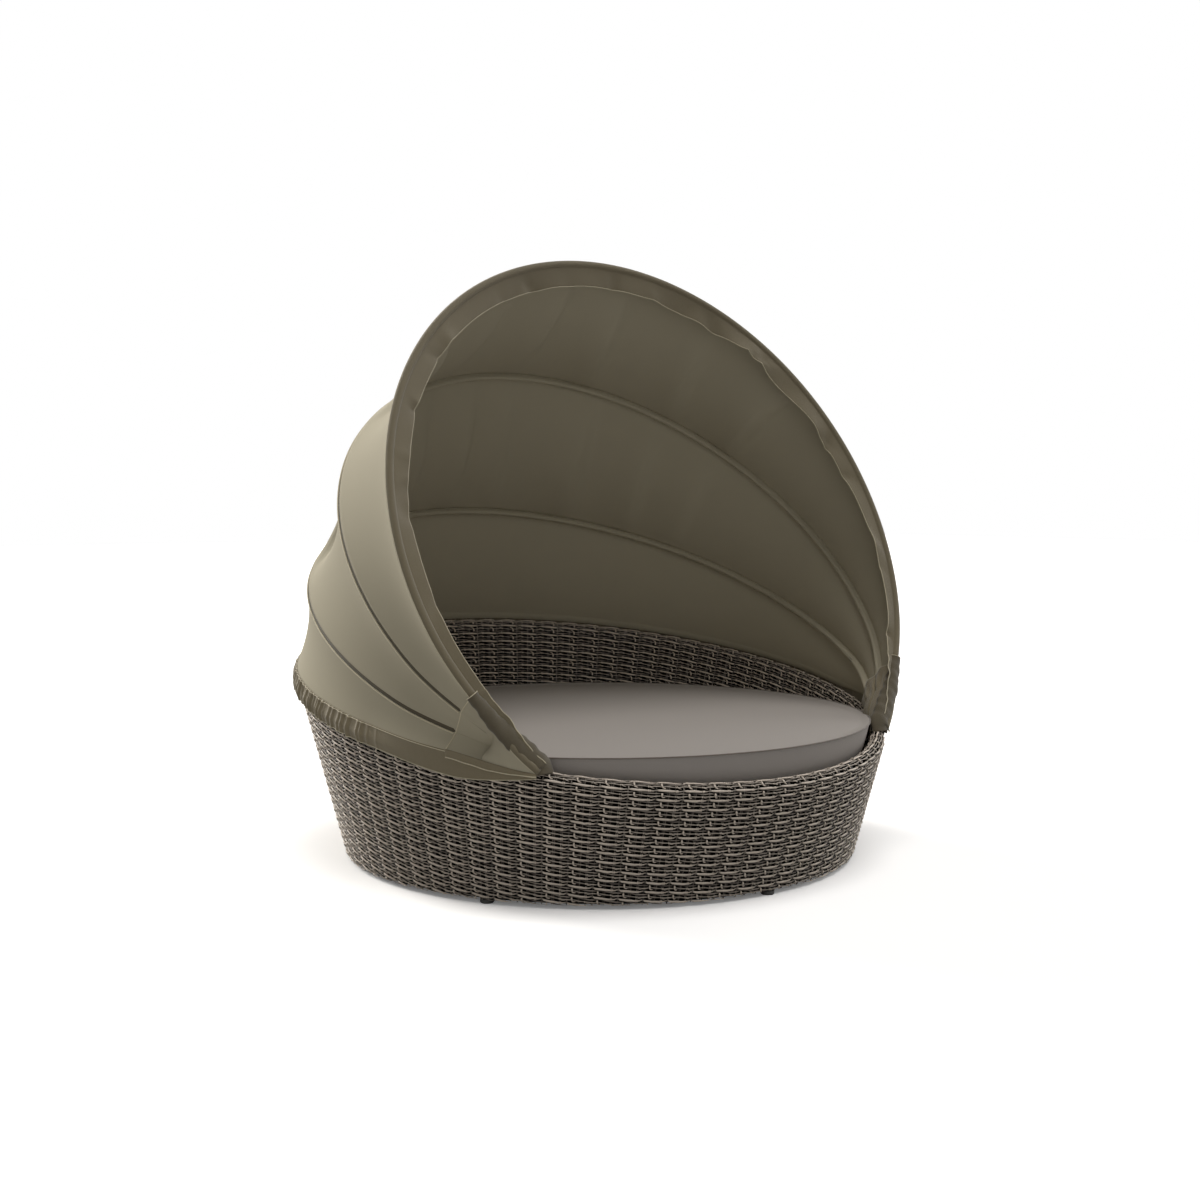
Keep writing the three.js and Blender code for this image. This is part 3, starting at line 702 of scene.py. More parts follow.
STRANDS = (
    Strand("bold", Run.ROUND, 0.0059, 0.0038, 0.90, (
        (0.00, -0.03, -1.2, 0.75), (0.05, -0.03, 1.5, 0.95), (0.18, -0.02, 2.2, 1.0),
        (0.34, 0.0, 2.4, 1.08), (0.50, 0.02, 2.1, 1.02), (0.63, 0.03, 1.4, 0.85),
        (0.75, 0.03, 0.6, 0.6), (0.84, 0.02, 0.3, 0.6), (0.92, 0.0, -2.6, 0.6)), sides=6),
    Strand("upper_thin", Run.ROUND, 0.0031, 0.0026, 0.24, (
        (0.02, 0.27, 0.7, 1.0), (0.11, 0.28, -0.6, 0.9), (0.22, 0.30, -3.0, 0.8),
        (0.38, 0.30, -3.0, 0.8), (0.50, 0.28, -0.6, 0.9), (0.64, 0.29, 0.6, 1.0),
        (0.78, 0.29, 1.0, 1.05), (0.90, 0.27, 1.1, 1.0))),
    Strand("lower_thin", Run.ROUND, 0.0031, 0.0026, 0.58, (
        (0.02, 0.55, 1.6, 1.1), (0.11, 0.55, 0.7, 1.0), (0.20, 0.53, -0.9, 0.9),
        (0.32, 0.53, 1.0, 1.0), (0.47, 0.56, 1.2, 1.0), (0.61, 0.59, 0.5, 0.9),
        (0.76, 0.60, 0.5, 0.9), (0.88, 0.58, 1.6, 1.1))),
    Strand("stake", Run.DOWN, 0.0028, 0.0022, 0.32, (
        (0.37, 0.0, -1.9, 1.0), (0.37, 0.5, -0.7, 1.0))),
    Strand("second_stake", Run.DOWN, 0.0028, 0.0022, 0.36, (
        (0.44, 0.0, -1.9, 1.0), (0.44, 0.5, -0.7, 1.0))),
    Strand("back_stake", Run.DOWN, 0.0038, 0.0026, 0.32, (
        (0.96, 0.25, -2.4, 1.0), (0.96, 0.78, 0.6, 1.0))),
    Strand("hook", Run.SHORT, 0.0060, 0.0038, 1.0, (
        (0.17, 0.23, 0.0, 0.6), (0.168, 0.28, 2.4, 1.0), (0.162, 0.40, 3.0, 1.1),
        (0.165, 0.54, 2.5, 0.95), (0.19, 0.66, 1.4, 0.75), (0.24, 0.73, 0.6, 0.65),
        (0.30, 0.74, -1.4, 0.5))),
    Strand("tie", Run.SHORT, 0.0031, 0.0026, 0.92, (
        (0.685, -0.11, -1.6, 0.8), (0.685, -0.06, 1.9, 1.0), (0.685, 0.13, 1.9, 1.0),
        (0.685, 0.18, -1.6, 0.8))),
    Strand("second_tie", Run.SHORT, 0.0031, 0.0026, 0.96, (
        (0.74, -0.11, -1.6, 0.8), (0.74, -0.06, 1.7, 1.0), (0.74, 0.13, 1.7, 1.0),
        (0.74, 0.18, -1.6, 0.8))),
    Strand("lower_tie", Run.SHORT, 0.0031, 0.0026, 0.8, (
        (0.66, 0.50, -1.6, 0.8), (0.665, 0.54, 1.8, 1.0), (0.675, 0.66, 1.8, 1.0),
        (0.68, 0.70, -1.6, 0.8))),
    Strand("lower_second_tie", Run.SHORT, 0.0031, 0.0026, 0.66, (
        (0.72, 0.50, -1.6, 0.8), (0.72, 0.54, 1.7, 1.0), (0.735, 0.66, 1.5, 1.0),
        (0.80, 0.72, 0.6, 0.9), (0.88, 0.74, -1.8, 0.7))),
)


@dataclass
class Weave:
    """The woven skin: one cell of strands, repeated round the tub and over its rim."""

    shape: TubShape
    columns: int = 74
    pitch: float = 0.0260
    rows_outside: int = 25
    rows_inside: int = 15
    drift: float = -0.025
    base: float = -0.0030
    # Tone gained for each metre of lift: painted depth shade, paler on top and darker in the recesses.
    wear_and_depth_shade: float = 110.0
    over_foot: float = 0.001
    over_deck: float = 0.012
    loose_lift: float = 0.00022
    loose_row: float = 0.012
    loose_tone: float = 0.1
    seed: int = 7
    skin_depth: float = 0.0034
    skin: float = 0.0006
    skin_turns: int = 240
    skin_rows: int = 81

    @property
    def cell(self) -> float:
        """The width of a cell: the crown's middle line, shared out among the columns."""
        return 2 * math.pi * self.shape.crown_middle / self.columns

    def flat_tubes(self, strand: Strand, first: int, rows: int, rng: np.random.Generator) -> Shape:
        """The strand drawn flat, at every cell: metres across, metres down and a lift.

        Args:
            strand: Which strand.
            first: The first row.
            rows: How many rows.
            rng: Where its looseness and the tone of each run come from.

        Returns:
            Its tubes, not yet on the wall.
        """
        knots = np.array(strand.knots)
        row = np.arange(first, first + rows)[:, None, None]
        column = np.arange(self.columns)[None, :, None]
        across = column + knots[:, 0] + self.drift * row
        down = row + knots[:, 1] + 0 * column
        if strand.run is Run.DOWN:
            across, down = across.transpose(1, 0, 2), down.transpose(1, 0, 2)
        runs = {Run.ROUND: rows, Run.DOWN: self.columns, Run.SHORT: rows * self.columns}
        across, down = (values.reshape(runs[strand.run], -1) for values in (across, down))
        repeat = across.shape[1] // len(knots)
        lift = np.tile(knots[:, 2], repeat) * MM + self.base + 0 * across
        breadth = np.tile(knots[:, 3], repeat) + 0 * across
        lift = lift + rng.normal(0, self.loose_lift, lift.shape)
        down = down + rng.normal(0, self.loose_row, down.shape)
        path = np.stack((across * self.cell, down * self.pitch, lift), -1)
        closed = strand.run is Run.ROUND
        if closed:
            whole = np.array((self.columns * self.cell, 0, 0))
            padded = np.concatenate((path[:, -1:] - whole, path, path[:, :1] + whole), axis=1)
            along = padded[:, 2:] - padded[:, :-2]
        else:
            along = np.gradient(path, axis=1)
        flat_along = unit(along * (1 - UP))
        side = np.stack((-flat_along[..., 1], flat_along[..., 0], 0 * lift), -1)
        section = oval(strand.width * breadth, strand.thickness * breadth, strand.sides)
        shape = swept(path, side, np.broadcast_to(UP, side.shape), section, closed)
        if strand.run is Run.SHORT:
            size = path.shape[1] * strand.sides
            starts = np.arange(len(path))[:, None] * size
            ring = np.arange(strand.sides)
            caps = np.concatenate((starts + ring[::-1], starts + size - strand.sides + ring))
            shape.faces = np.concatenate((shape.faces, caps))
        # Painted depth shade: each strand is paler where it stands out and darker where it sinks.
        painted_depth_shade = (lift - self.base) * self.wear_and_depth_shade
        tones = strand.tone + rng.normal(0, self.loose_tone, (len(path), 1)) + painted_depth_shade
        shape.tone = np.repeat(np.clip(tones, 0, 1).ravel(), strand.sides)
        return shape

    def on_tub(self, shape: Shape, floor: float) -> Shape:
        """The flat drawing carried onto the wall, and cut off at a level floor.

        Points under the floor are raised to it, and faces that lie wholly in it are left out, with
        the points that no other face uses.

        Args:
            shape: The flat tubes.
            floor: The height of the cut.

        Returns:
            The tubes on the wall.
        """
        turn = shape.points[:, 0] / self.cell * 2 * math.pi / self.columns
        points = self.shape.on_wall(turn, shape.points[:, 1], shape.points[:, 2])
        above = points[:, 2] > floor + 0.01 * MM
        points[:, 2] = np.maximum(points[:, 2], floor)
        faces = shape.faces[above[shape.faces].any(axis=1)]
        used, numbers = np.unique(faces, return_inverse=True)
        return Shape(points[used], numbers.reshape(faces.shape), tone=shape.tone[used])

    def run_to(self, turn: Array, height: float, inset: float) -> Array:
        """The run from the crown's top down to a level, where the wall's radius is known.

        Args:
            turn: Angle from +X.
            height: The level.
            inset: How far inside the outer skin the wanted skin lies.

        Returns:
            A quarter of the crown, and the rest of the drop by the slope of the wall.
        """
        radius = self.shape.floor_radius + self.shape.lean * height - inset
        drop = self.shape.rim_height + self.shape.tilt * radius * np.sin(turn) - height
        slope = math.atan(self.shape.lean)
        return (self.shape.crown_radius * math.pi / 2
                + (drop - self.shape.crown_radius) / math.cos(slope))

    def back(self) -> None:
        """A near-black skin under the strands, from foot over rim to deck, painted shade in the gaps.

        Each line of it runs evenly between its two ends and returns a little further in.
        """
        turn = np.linspace(0, 2 * math.pi, self.skin_turns + 1)[None, :-1]
        share = np.linspace(0, 1, self.skin_rows)[:, None]
        inside = -self.run_to(turn, self.shape.deck + self.over_deck, self.shape.wall)
        outside = self.run_to(turn, self.shape.foot + self.over_foot, 0.0)
        run = inside + (outside - inside) * share
        over, under = (self.shape.on_wall(turn + 0 * share, run, self.base - depth + 0 * run)
                       for depth in (self.skin_depth, self.skin_depth + self.skin))
        points = np.concatenate((over, under[::-1]))
        faces = grid_faces(len(points), points.shape[1], True, True)
        dress(Shape(points.reshape(-1, 3), faces).mesh("weave_shade_skin"), Finish.SHADE, "base")

    def build(self) -> None:
        """Make the painted-shade skin, and every strand outside and inside; the bold ones stand for the
        skins.
        """
        rng = np.random.default_rng(self.seed)
        self.back()
        skins = (
            ("outer", 0, self.rows_outside, self.shape.foot, ("outer_weave", "rim_braid")),
            ("inner", -self.rows_inside, self.rows_inside, self.shape.deck + self.over_deck,
             ("inner_weave",)),
        )
        for skin, first, rows, floor, nodes in skins:
            for strand in STRANDS:
                flat = self.flat_tubes(strand, first, rows, rng)
                piece = self.on_tub(flat, floor).mesh(f"{skin}_{strand.name}")
                dress(piece, Finish.CANE, "base", nodes if strand is STRANDS[0] else ())


@dataclass
class TubFrame:
    """The tubes, slats and feet of the tub, which keep their own shape and get a finish."""

    finishes: tuple = (
        (Finish.TUBE, ("bottom_ring", "top_ring", "deck_ring", "upright_", "deck_beam_",
                       "centre_leg")),
        (Finish.NYLON, ("glide_", "centre_glide", "inner_spacer_", "outer_spacer_")),
        (Finish.SLAT, ("slat_",)),
        (Finish.HOOP, ("rear_hoop", "middle_hoop", "front_hoop")),
        (Finish.STEEL, ("hinge_bracket_", "pivot_pin_", "pivot_nut_", "rear_link_",
                        "middle_link_", "front_link_")),
    )

    def build(self) -> None:
        """Put each finish on the nodes whose names start as listed."""
        for finish, starts in self.finishes:
            for name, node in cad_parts.items():
                if name.startswith(starts):
                    for place in node.material_slots:
                        place.material = finish.material()
                    log.info("%s: %s", name, finish.name.lower())


@dataclass
class Cushion:
    """The round cushion: two panels sewn to a side panel, and blown up by a cloth simulation."""

    shape: TubShape
    foot: float = 0.2535
    top: float = 0.383
    clearance: float = 0.014
    crown: float = 0.011
    bulge: float = 0.004
    top_inset: float = 0.002
    foot_inset: float = 0.006
    side_slope: float = 0.6
    cells: int = 84
    side_rows: int = 9
    welt: float = 0.0042
    top_welt_inset: float = 0.0005
    foot_welt_inset: float = 0.004
    foot_welt_rise: float = 0.003
    welt_sides: int = 8
    welt_steps: int = 360
    cap: float = 0.007
    frames: int = 20

    def edge(self, height: float) -> float:
        """The cushion's own radius at a height: the wall's inside less the clearance."""
        return (self.shape.floor_radius + self.shape.lean * height - self.shape.wall
                - self.clearance)

    def disc(self) -> tuple[Array, Array]:
        """A square grid pressed into a disc: each side times the root of one less half the square
        of the other."""
        side = np.linspace(-1, 1, self.cells + 1)
        u, v = np.meshgrid(side, side, indexing="ij")
        return u * np.sqrt(1 - v * v / 2), v * np.sqrt(1 - u * u / 2)

    def start(self) -> tuple[Shape, Array]:
        """The closed form before it is blown up, and how far each point is held.

        The top rises by one less the fifth power of the share from the middle; the foot is flat;
        the side panel stands between the rims of the discs and bulges by the sine of its height.

        Returns:
            The shape, and one for each point that is held by the foot or the seam.
        """
        x, y = self.disc()
        far = np.clip(np.hypot(x, y), 0, 1)
        rise = self.crown * (1 - far**5)
        high, low = self.edge(self.top) - self.top_inset, self.edge(self.foot) - self.foot_inset
        top = np.stack((x * high, y * high, self.top + rise), -1).reshape(-1, 3)
        foot = np.stack((x * low, y * low, self.foot + 0 * x), -1).reshape(-1, 3)
        size, count = len(x), len(top)
        number = np.arange(count).reshape(size, size)
        rim = np.concatenate((number[:-1, 0], number[-1, :-1], number[:0:-1, -1], number[0, :0:-1]))
        share = np.arange(1, self.side_rows)[:, None, None] / self.side_rows
        side = between(top[rim], foot[rim], share)
        side[..., :2] *= 1 + self.bulge * np.sin(np.pi * share)
        ring = 2 * count + np.arange(side.size // 3).reshape(side.shape[:2])
        rings = np.concatenate((rim[None], ring, count + rim[None]))
        after = np.roll(rings, -1, axis=1)
        wall = np.stack((after[:-1], after[1:], rings[1:], rings[:-1]), -1).reshape(-1, 4)
        faces = grid_faces(size, size)
        held = np.zeros(2 * count + ring.size)
        held[count:2 * count] = held[rim] = 1
        points = np.concatenate((top, foot, side.reshape(-1, 3)))
        return Shape(points, np.concatenate((faces[:, ::-1], faces + count, wall))), held

    def blow_up(self, piece: bpy.types.Object, held: Array) -> None:
        """Press the cloth out for some frames, then keep each point within the cap of its start.

        Args:
            piece: The closed form.
            held: One for each point that stays where it is.
        """
        start = np.empty(len(piece.data.vertices) * 3, np.float32)
        piece.data.vertices.foreach_get("co", start)
        group = piece.vertex_groups.new(name="seams")
        group.add([int(i) for i in np.flatnonzero(held)], 1.0, "REPLACE")
        modifier = piece.modifiers.new("cloth", "CLOTH")
        settings = modifier.settings
        settings.quality = 5
        settings.use_pressure = True
        settings.uniform_pressure_force = 4.0
        settings.effector_weights.gravity = 0.0
        settings.vertex_group_mass = "seams"
        settings.tension_stiffness = 12.0
        settings.bending_stiffness = 2.0
        scene = bpy.context.scene
        modifier.point_cache.frame_start, modifier.point_cache.frame_end = 1, self.frames
        for step in range(1, self.frames + 1):
            scene.frame_set(step)
        evaluated = piece.evaluated_get(bpy.context.evaluated_depsgraph_get())
        blown = np.empty(len(start), np.float32)
        evaluated.data.vertices.foreach_get("co", blown)
        moved = (blown - start).reshape(-1, 3)
        far = np.linalg.norm(moved, axis=1, keepdims=True)
        moved *= np.minimum(1, self.cap / np.maximum(far, 1e-9))
        piece.modifiers.clear()
        piece.vertex_groups.clear()
        scene.frame_set(1)
        piece.data.vertices.foreach_set("co", start + moved.ravel())
        log.info("cushion moved up to %.1f mm", float(far.max()) / MM)

    def uv(self, piece: bpy.types.Object) -> None:
        """Flat places: the top by its x and y, the side panel by its way round and its height.

        Args:
            piece: The cushion, which gets them as its layer named cloth.
        """
        mesh = piece.data
        points = np.empty(len(mesh.vertices) * 3, np.float32)
        mesh.vertices.foreach_get("co", points)
        corner = np.empty(len(mesh.loops), np.int32)
        mesh.loops.foreach_get("vertex_index", corner)
        normals = np.empty(len(mesh.polygons) * 3, np.float32)
        mesh.polygons.foreach_get("normal", normals)
        side = np.repeat(np.abs(normals.reshape(-1, 3)[:, 2]) < self.side_slope, 4)
        at = points.reshape(-1, 3)[corner]
        round_way = np.arctan2(at[:, 1], at[:, 0]) * self.edge(self.top)
        flat = np.where(side[:, None], np.stack((round_way, at[:, 2]), -1), at[:, :2])
        layer = mesh.uv_layers.new(name="cloth")
        layer.uv.foreach_set("vector", flat.astype(np.float32).ravel())

    def seam(self, name: str, height: float, radius: float) -> None:
        """A thin welt sewn into the seam: a ring of round section, in darker cushion cloth as painted shade.

        Args:
            name: The piece's name.
            height: The height of the ring.
            radius: Its radius.
        """
        turn = np.linspace(0, 2 * math.pi, self.welt_steps + 1)[:-1]
        out = np.stack((np.cos(turn), np.sin(turn), 0 * turn), -1)[None]
        section = oval(self.welt, self.welt, self.welt_sides)
        lift = np.broadcast_to(UP, out.shape)
        shape = swept(out * radius + UP * height, out, lift, section, True)
        shape.uv = tube_uv(turn * radius, np.arange(self.welt_sides) * MM)
        dress(shape.mesh(name), Finish.WELT, "cushion")

    def build(self) -> None:
        """Make, blow up, subdivide and dress the cushion, then sew on its two welts."""
        shape, held = self.start()
        piece = shape.mesh("cushion_pad")
        self.blow_up(piece, held)
        self.uv(piece)
        finer = piece.modifiers.new("finer", "SUBSURF")
        finer.levels = finer.render_levels = 1
        dress(piece, Finish.CUSHION, "cushion", ("cushion",))
        self.seam("cushion_top_welt", self.top, self.edge(self.top) - self.top_welt_inset)
        self.seam("cushion_foot_welt", self.foot + self.foot_welt_rise,
                  self.edge(self.foot) - self.foot_welt_inset)


# The canopy


class Hoop(Enum):
    """The three hoops: their angle over the level line back, and their place on the pin."""

    REAR = (24.8, -1)
    MIDDLE = (45.3, 0)
    FRONT = (66.1, 1)

    @property
    def angle(self) -> float:
        """The angle of the hoop's plane."""
        return math.radians(self.value[0])

    @property
    def place(self) -> int:
        """Its place along the pin, from the inside out."""
        return self.value[1]

    @property
    def label(self) -> str:
        """The word that the names of its pieces start with."""
        return self.name.lower()

    @property
    def body(self) -> str:
        """The body it belongs to."""
        return f"{self.label}_bow"

    @property
    def tube(self) -> str:
        """The node of its tube."""
        return f"{self.label}_hoop"

    @property
    def ahead(self) -> Array:
        """The unit vector square to its plane, towards the front."""
        return np.array((0.0, -math.sin(self.angle), math.cos(self.angle)))


class Thread(Enum):
    """How thick a line of piping or stitching is."""

    PIPING = 0.0038
    PATCH = 0.0028
    EDGE = 0.0024
    CORNER = 0.0022
    FINE = 0.0020


@dataclass(frozen=True)
class CanopyShape:
    """Where the hoops lie, from the same sizes as the frame."""

    tub: TubShape
    radius: float = 0.839
    centre: float = 0.5955
    hinge_x: float = 0.58713
    hinge_y: float = -0.549
    hinge_z: float = 0.36674
    link_reach: float = 0.108
    knee: float = 0.012
    pitch: float = 0.011
    settle: float = 0.240
    tube: float = 0.014

    @property
    def sweep(self) -> float:
        """Half the arc, from its top to the end of the tube."""
        return math.acos((self.link_reach - self.centre) / self.radius)

    def slope(self, reach: float) -> float:
        """Sideways run of the arc for each length of reach."""
        return (self.centre - reach) / math.sqrt(self.radius**2 - (reach - self.centre) ** 2)

    def leg_shift(self, place: Array, reach: Array) -> Array:
        """The whole shift on the link, fading up the hoop as half of one plus a cosine.

        Args:
            place: The hoop's place along the pin.
            reach: Distance from the pivot line.

        Returns:
            How far the leg stands out sideways of the arc.
        """
        knee_x = math.sqrt(self.radius**2 - (self.link_reach - self.centre) ** 2)
        outset = (self.link_reach - self.knee) * self.slope((self.link_reach + self.knee) / 2)
        start = self.hinge_x + place * self.pitch + outset
        fade = np.clip((reach - self.link_reach) / self.settle, 0, 1)
        return (start - knee_x) * (1 + np.cos(np.pi * fade)) / 2

    def at(self, place: Array, turn: Array, outward: Array, angle: Array) -> Array:
        """A point outside a hoop: the arc and its leg shift, turned to the angle of the plane.

        Args:
            place: The hoop's place along the pin.
            turn: Angle round the arc from its top.
            outward: Distance from the hoop's line, in its plane.
            angle: The angle of the plane over the level line back.

        Returns:
            The points.
        """
        on_tube = self.centre + self.radius * np.cos(turn)
        reach = self.centre + (self.radius + outward) * np.cos(turn)
        x = (self.radius + outward) * np.sin(turn) + np.sign(turn) * self.leg_shift(place, on_tube)
        y, z = self.hinge_y + reach * np.cos(angle), self.hinge_z + reach * np.sin(angle)
        return np.stack(np.broadcast_arrays(x, y, z), -1)

    def reach(self, turn: Array) -> Array:
        """How far a point of the arc is from the pivot line."""
        return self.centre + self.radius * np.cos(turn)


# Half the sleeve's section and the whole of the band's, as outward and ahead of the hoop, and the
# seed and number of the folds in the gore under each hoop
SLEEVE_HALF = np.array((
    (8.0, 0.0), (8.0, 5.0), (8.0, 9.2), (7.2, 9.6), (5.4, 8.4), (1.0, 7.9), (-4.2, 7.4),
    (-8.0, 4.9), (-9.7, 1.6))) * MM
BAND_SECTION = np.array(((8.3, -9.0), (8.3, 9.0), (8.9, 8.6), (8.9, -8.6))) * MM
FOLDS = {Hoop.MIDDLE: (3, 8), Hoop.FRONT: (5, 7)}


@dataclass(frozen=True)
class Lining:
    """Sizes of the inner layer over a hinge; a run is a way over the rim, inwards negative."""

    reach: float = 0.168
    inset: float = 0.0042
    hollow: float = 0.024
    crumple: float = 0.004
    fan: float = 0.8
    rim_run: float = -0.012
    rim_lift: float = 0.004
    foot_run: float = -0.024
    foot_lift: float = 0.003
    leg_inset: float = 0.012
    rows: int = 12
    columns: int = 14
    leg_columns: int = 15


@dataclass(frozen=True)
class Pocket:
    """Sizes of the pocket over each front leg, at its upper end, and how much they grow."""

    over_patch: float = 0.004
    proud: float = 0.001
    wide: float = 0.0340
    wider: float = 0.0270
    deep: float = 0.0250
    deeper: float = 0.0100
    haste: float = 1.15
    inward: float = 0.002
    foot: tuple[float, float, float] = (0.0, -0.004, -0.020)
    ripple: float = 0.05
    fine_ripple: float = 0.04
    closing: tuple[float, float, float] = (0.6, 0.25, 0.04)
    arm_steps: int = 25
    leg_steps: int = 21
    foot_steps: int = 6
    sides: int = 28


@dataclass(frozen=True)
class Hem:
    """Sizes of the front hem: its fall, and the soft bells and sharp creases in it."""

    depth: float = 0.054
    tip_share: float = 0.32
    tip_run: float = 1.3
    turned: float = math.radians(165)
    tip_lean: float = 0.011
    top_lean: float = 0.029
    bells: int = 46
    bell_height: float = 0.008
    creases: int = 19
    crease_height: float = 0.014
    crease_width: float = 0.013
    notch: float = 0.1
    pinch: float = 0.0013
    pinch_reach: float = 0.22
    pinch_fade: float = 0.12
    seed: int = 21
    turned_rows: int = 10
    fall_rows: int = 14


@dataclass(frozen=True)
class Skirt:
    """Sizes of the gathered skirt; lower is how much further down it hangs at the sides."""

    foot: float = 0.037
    lower: float = 0.013
    tip_share: float = 0.2
    tip_fade: float = math.radians(16)
    standoff: float = 0.0030
    flare: float = 0.0030
    gather: float = 0.0088
    gathers: float = 72.0
    hollow: float = 0.0022
    flat_gather: float = 0.03
    columns: int = 1600
    rows: int = 18


@dataclass
class Canopy:
    """The cloth: three gores, the sleeves over the hoops, the hem, the skirt and the stitching."""

    shape: CanopyShape
    cloth: float = 0.0018
    lift: float = 0.0022
    band: float = 0.0054
    front_sag: float = 0.026
    rear_sag: float = 0.010
    fold: float = 0.028
    crowding: float = 0.82
    patch_reach: float = 0.188
    patch_layer: float = 0.0016
    patch_drop: float = 0.021
    patch_fade: float = 0.004
    gap_fade: float = 0.006
    seam_inset: float = 0.010
    seam_drop: float = -0.017
    seam_tip_drop: float = 0.002
    seam_standoff: float = 0.0016
    crown_end: float = 101.0
    tip_start: float = 119.0
    seam_fade: float = 15.0
    tuck: float = 0.0145
    leg_standoff: float = 0.0035
    leg_bulge: float = 0.010
    proud: float = 0.0010
    eye: float = 0.6
    thread_sides: int = 6
    tip: float = math.radians(134.6)
    columns: int = 288
    leg_columns: int = 20
    rows: int = 40
    sleeve_steps: int = 241
    piping_steps: int = 481
    border_steps: int = 25
    lining: Lining = Lining()
    pocket: Pocket = Pocket()
    hem: Hem = Hem()
    gathered: Skirt = Skirt()

    @property
    def outset(self) -> float:
        """From a hoop's line to the middle of the cloth over it."""
        return self.shape.tube / 2 + self.lift + self.cloth / 2

    def grid(self) -> tuple[Array, Array]:
        """Angles along a gore, closer together near its two feet, and shares of the way up it."""
        quarter = math.pi / 2 * self.crowding
        turn = self.shape.sweep * np.sin(np.linspace(-1, 1, self.columns + 1) * quarter)
        return (turn / math.sin(quarter))[None], np.linspace(0, 1, self.rows + 1)[:, None]

    def folds(self, hoop: Hoop, turn: Array, up: Array) -> Array:
        """Soft slanting folds: sharp to one side and smooth to the other, out of a seeded draw.

        Args:
            hoop: The hoop at the gore's upper edge.
            turn: Angles round the arc.
            up: Shares of the way up the gore.

        Returns:
            The depth: the sum of a bell for each fold, fading out at both hoops.
        """
        seed, count = FOLDS[hoop]
        rng = np.random.default_rng(seed)
        total = np.zeros(np.broadcast_shapes(turn.shape, up.shape))
        for centre, lean, wide, deep in zip(
            np.linspace(-0.95, 0.95, count) + rng.uniform(-0.08, 0.08, count),
            rng.uniform(-0.2, 0.02, count), rng.uniform(0.09, 0.16, count),
            rng.uniform(0.4, 1.0, count),
        ):
            past = (turn - centre - lean * (up - 0.5)) / wide
            total = total + deep * bell(np.where(past < 0, past, past * 5.0))
        return self.fold * total * np.sin(np.pi * up) ** 0.7

    def sink(self, turn: Array, up: Array, spread: float, sag: float) -> Array:
        """How far a gore lies inside its hoops: four up times one less up, of chord and sag.

        Args:
            turn: Angles round the arc.
            up: Shares of the way up the gore.
            spread: The angle between its two edges.
            sag: How far the cloth gives at the top of the arc, beyond the straight chord.

        Returns:
            The depth.
        """
        reach = self.shape.reach(turn)
        height = reach / (self.shape.radius + self.shape.centre)
        return 4 * up * (1 - up) * (reach * (1 - math.cos(spread / 2)) + sag * height)

    def gap(self, reach: Array, hoop: Hoop) -> Array:
        """Half the band left bare along a hoop, which closes under the corner patch and the hem."""
        return (0.0 if hoop is Hoop.FRONT else self.band) * ease(
            (reach - self.patch_reach) / self.gap_fade)

    def patch(self, reach: Array) -> Array:
        """How far the second layer of cloth near a hinge lifts the surface."""
        return self.patch_layer * (1 - ease((reach - self.patch_reach) / self.patch_fade))

    def over_crown(self, turn: Array) -> Array:
        """How far the seam lies in over the crown: wholly at the back, not at all by the hinges."""
        return 1 - beyond(turn, self.crown_end, self.seam_fade)

    def seam(self, turn: Array) -> tuple[Array, Array]:
        """Where the seam between the gores and the skirt lies: over the crown, but not at the tips.

        Args:
            turn: Angle round from the back.

        Returns:
            Its drop below the rim plane and its standoff from the wall.
        """
        near_tip = beyond(turn, self.tip_start, self.seam_fade)
        drop = between(self.seam_drop, self.seam_tip_drop, near_tip)
        inset = (self.seam_inset + self.seam_standoff) * self.over_crown(turn)
        return drop, self.seam_standoff - inset

    def border_turn(self, reach: float) -> float:
        """The angle round the arc at which a hoop is a given reach from the pivot line."""
        return math.acos((reach - self.shape.centre) / self.shape.radius)

    def with_legs(self, arc: Array, foot: Array) -> Array:
        """The arc of a gore with its two feet: lines from its ends to the rim, bowed outwards.

        Args:
            arc: Rows by columns by three, from the left foot to the right one.
            foot: The right-hand foot of each row, on the rim.

        Returns:
            The grid, longer by the leg columns at both ends.
        """
        share = (np.arange(1, self.leg_columns + 1) / self.leg_columns)[None, :, None]
        bow = np.array((self.leg_bulge, 0.0, 0.0)) * np.sin(np.pi * share)
        right = between(arc[:, -1:], foot[:, None], share) + bow
        left = between(arc[:, :1], foot[:, None] * MIRROR, share) + bow * MIRROR
        return np.concatenate((left[:, ::-1], arc, right), axis=1)

    def on_gore(self, lower: Hoop, upper: Hoop, turn: Array, up: Array,
                proud: float = 0.0) -> Array:
        """Points between two hoops: each line turns evenly about the pivot line and sinks.

        Args:
            lower: The hoop at the gore's lower edge.
            upper: The hoop at its upper edge.
            turn: Angles round the arc.
            up: Shares of the way up the gore.
            proud: How far the points stand over the middle of the cloth.

        Returns:
            The points.
        """
        reach = self.shape.reach(turn)
        low = lower.angle + self.gap(reach, lower) / reach
        high = upper.angle - self.gap(reach, upper) / reach
        place = lower.place + (upper.place - lower.place) * up
        sink = self.sink(turn, up, upper.angle - lower.angle, self.front_sag)
        sink = sink + self.folds(upper, turn, up)
        outward = self.outset + self.patch(reach) + proud - sink
        return self.shape.at(place, turn, outward, low + (high - low) * up)

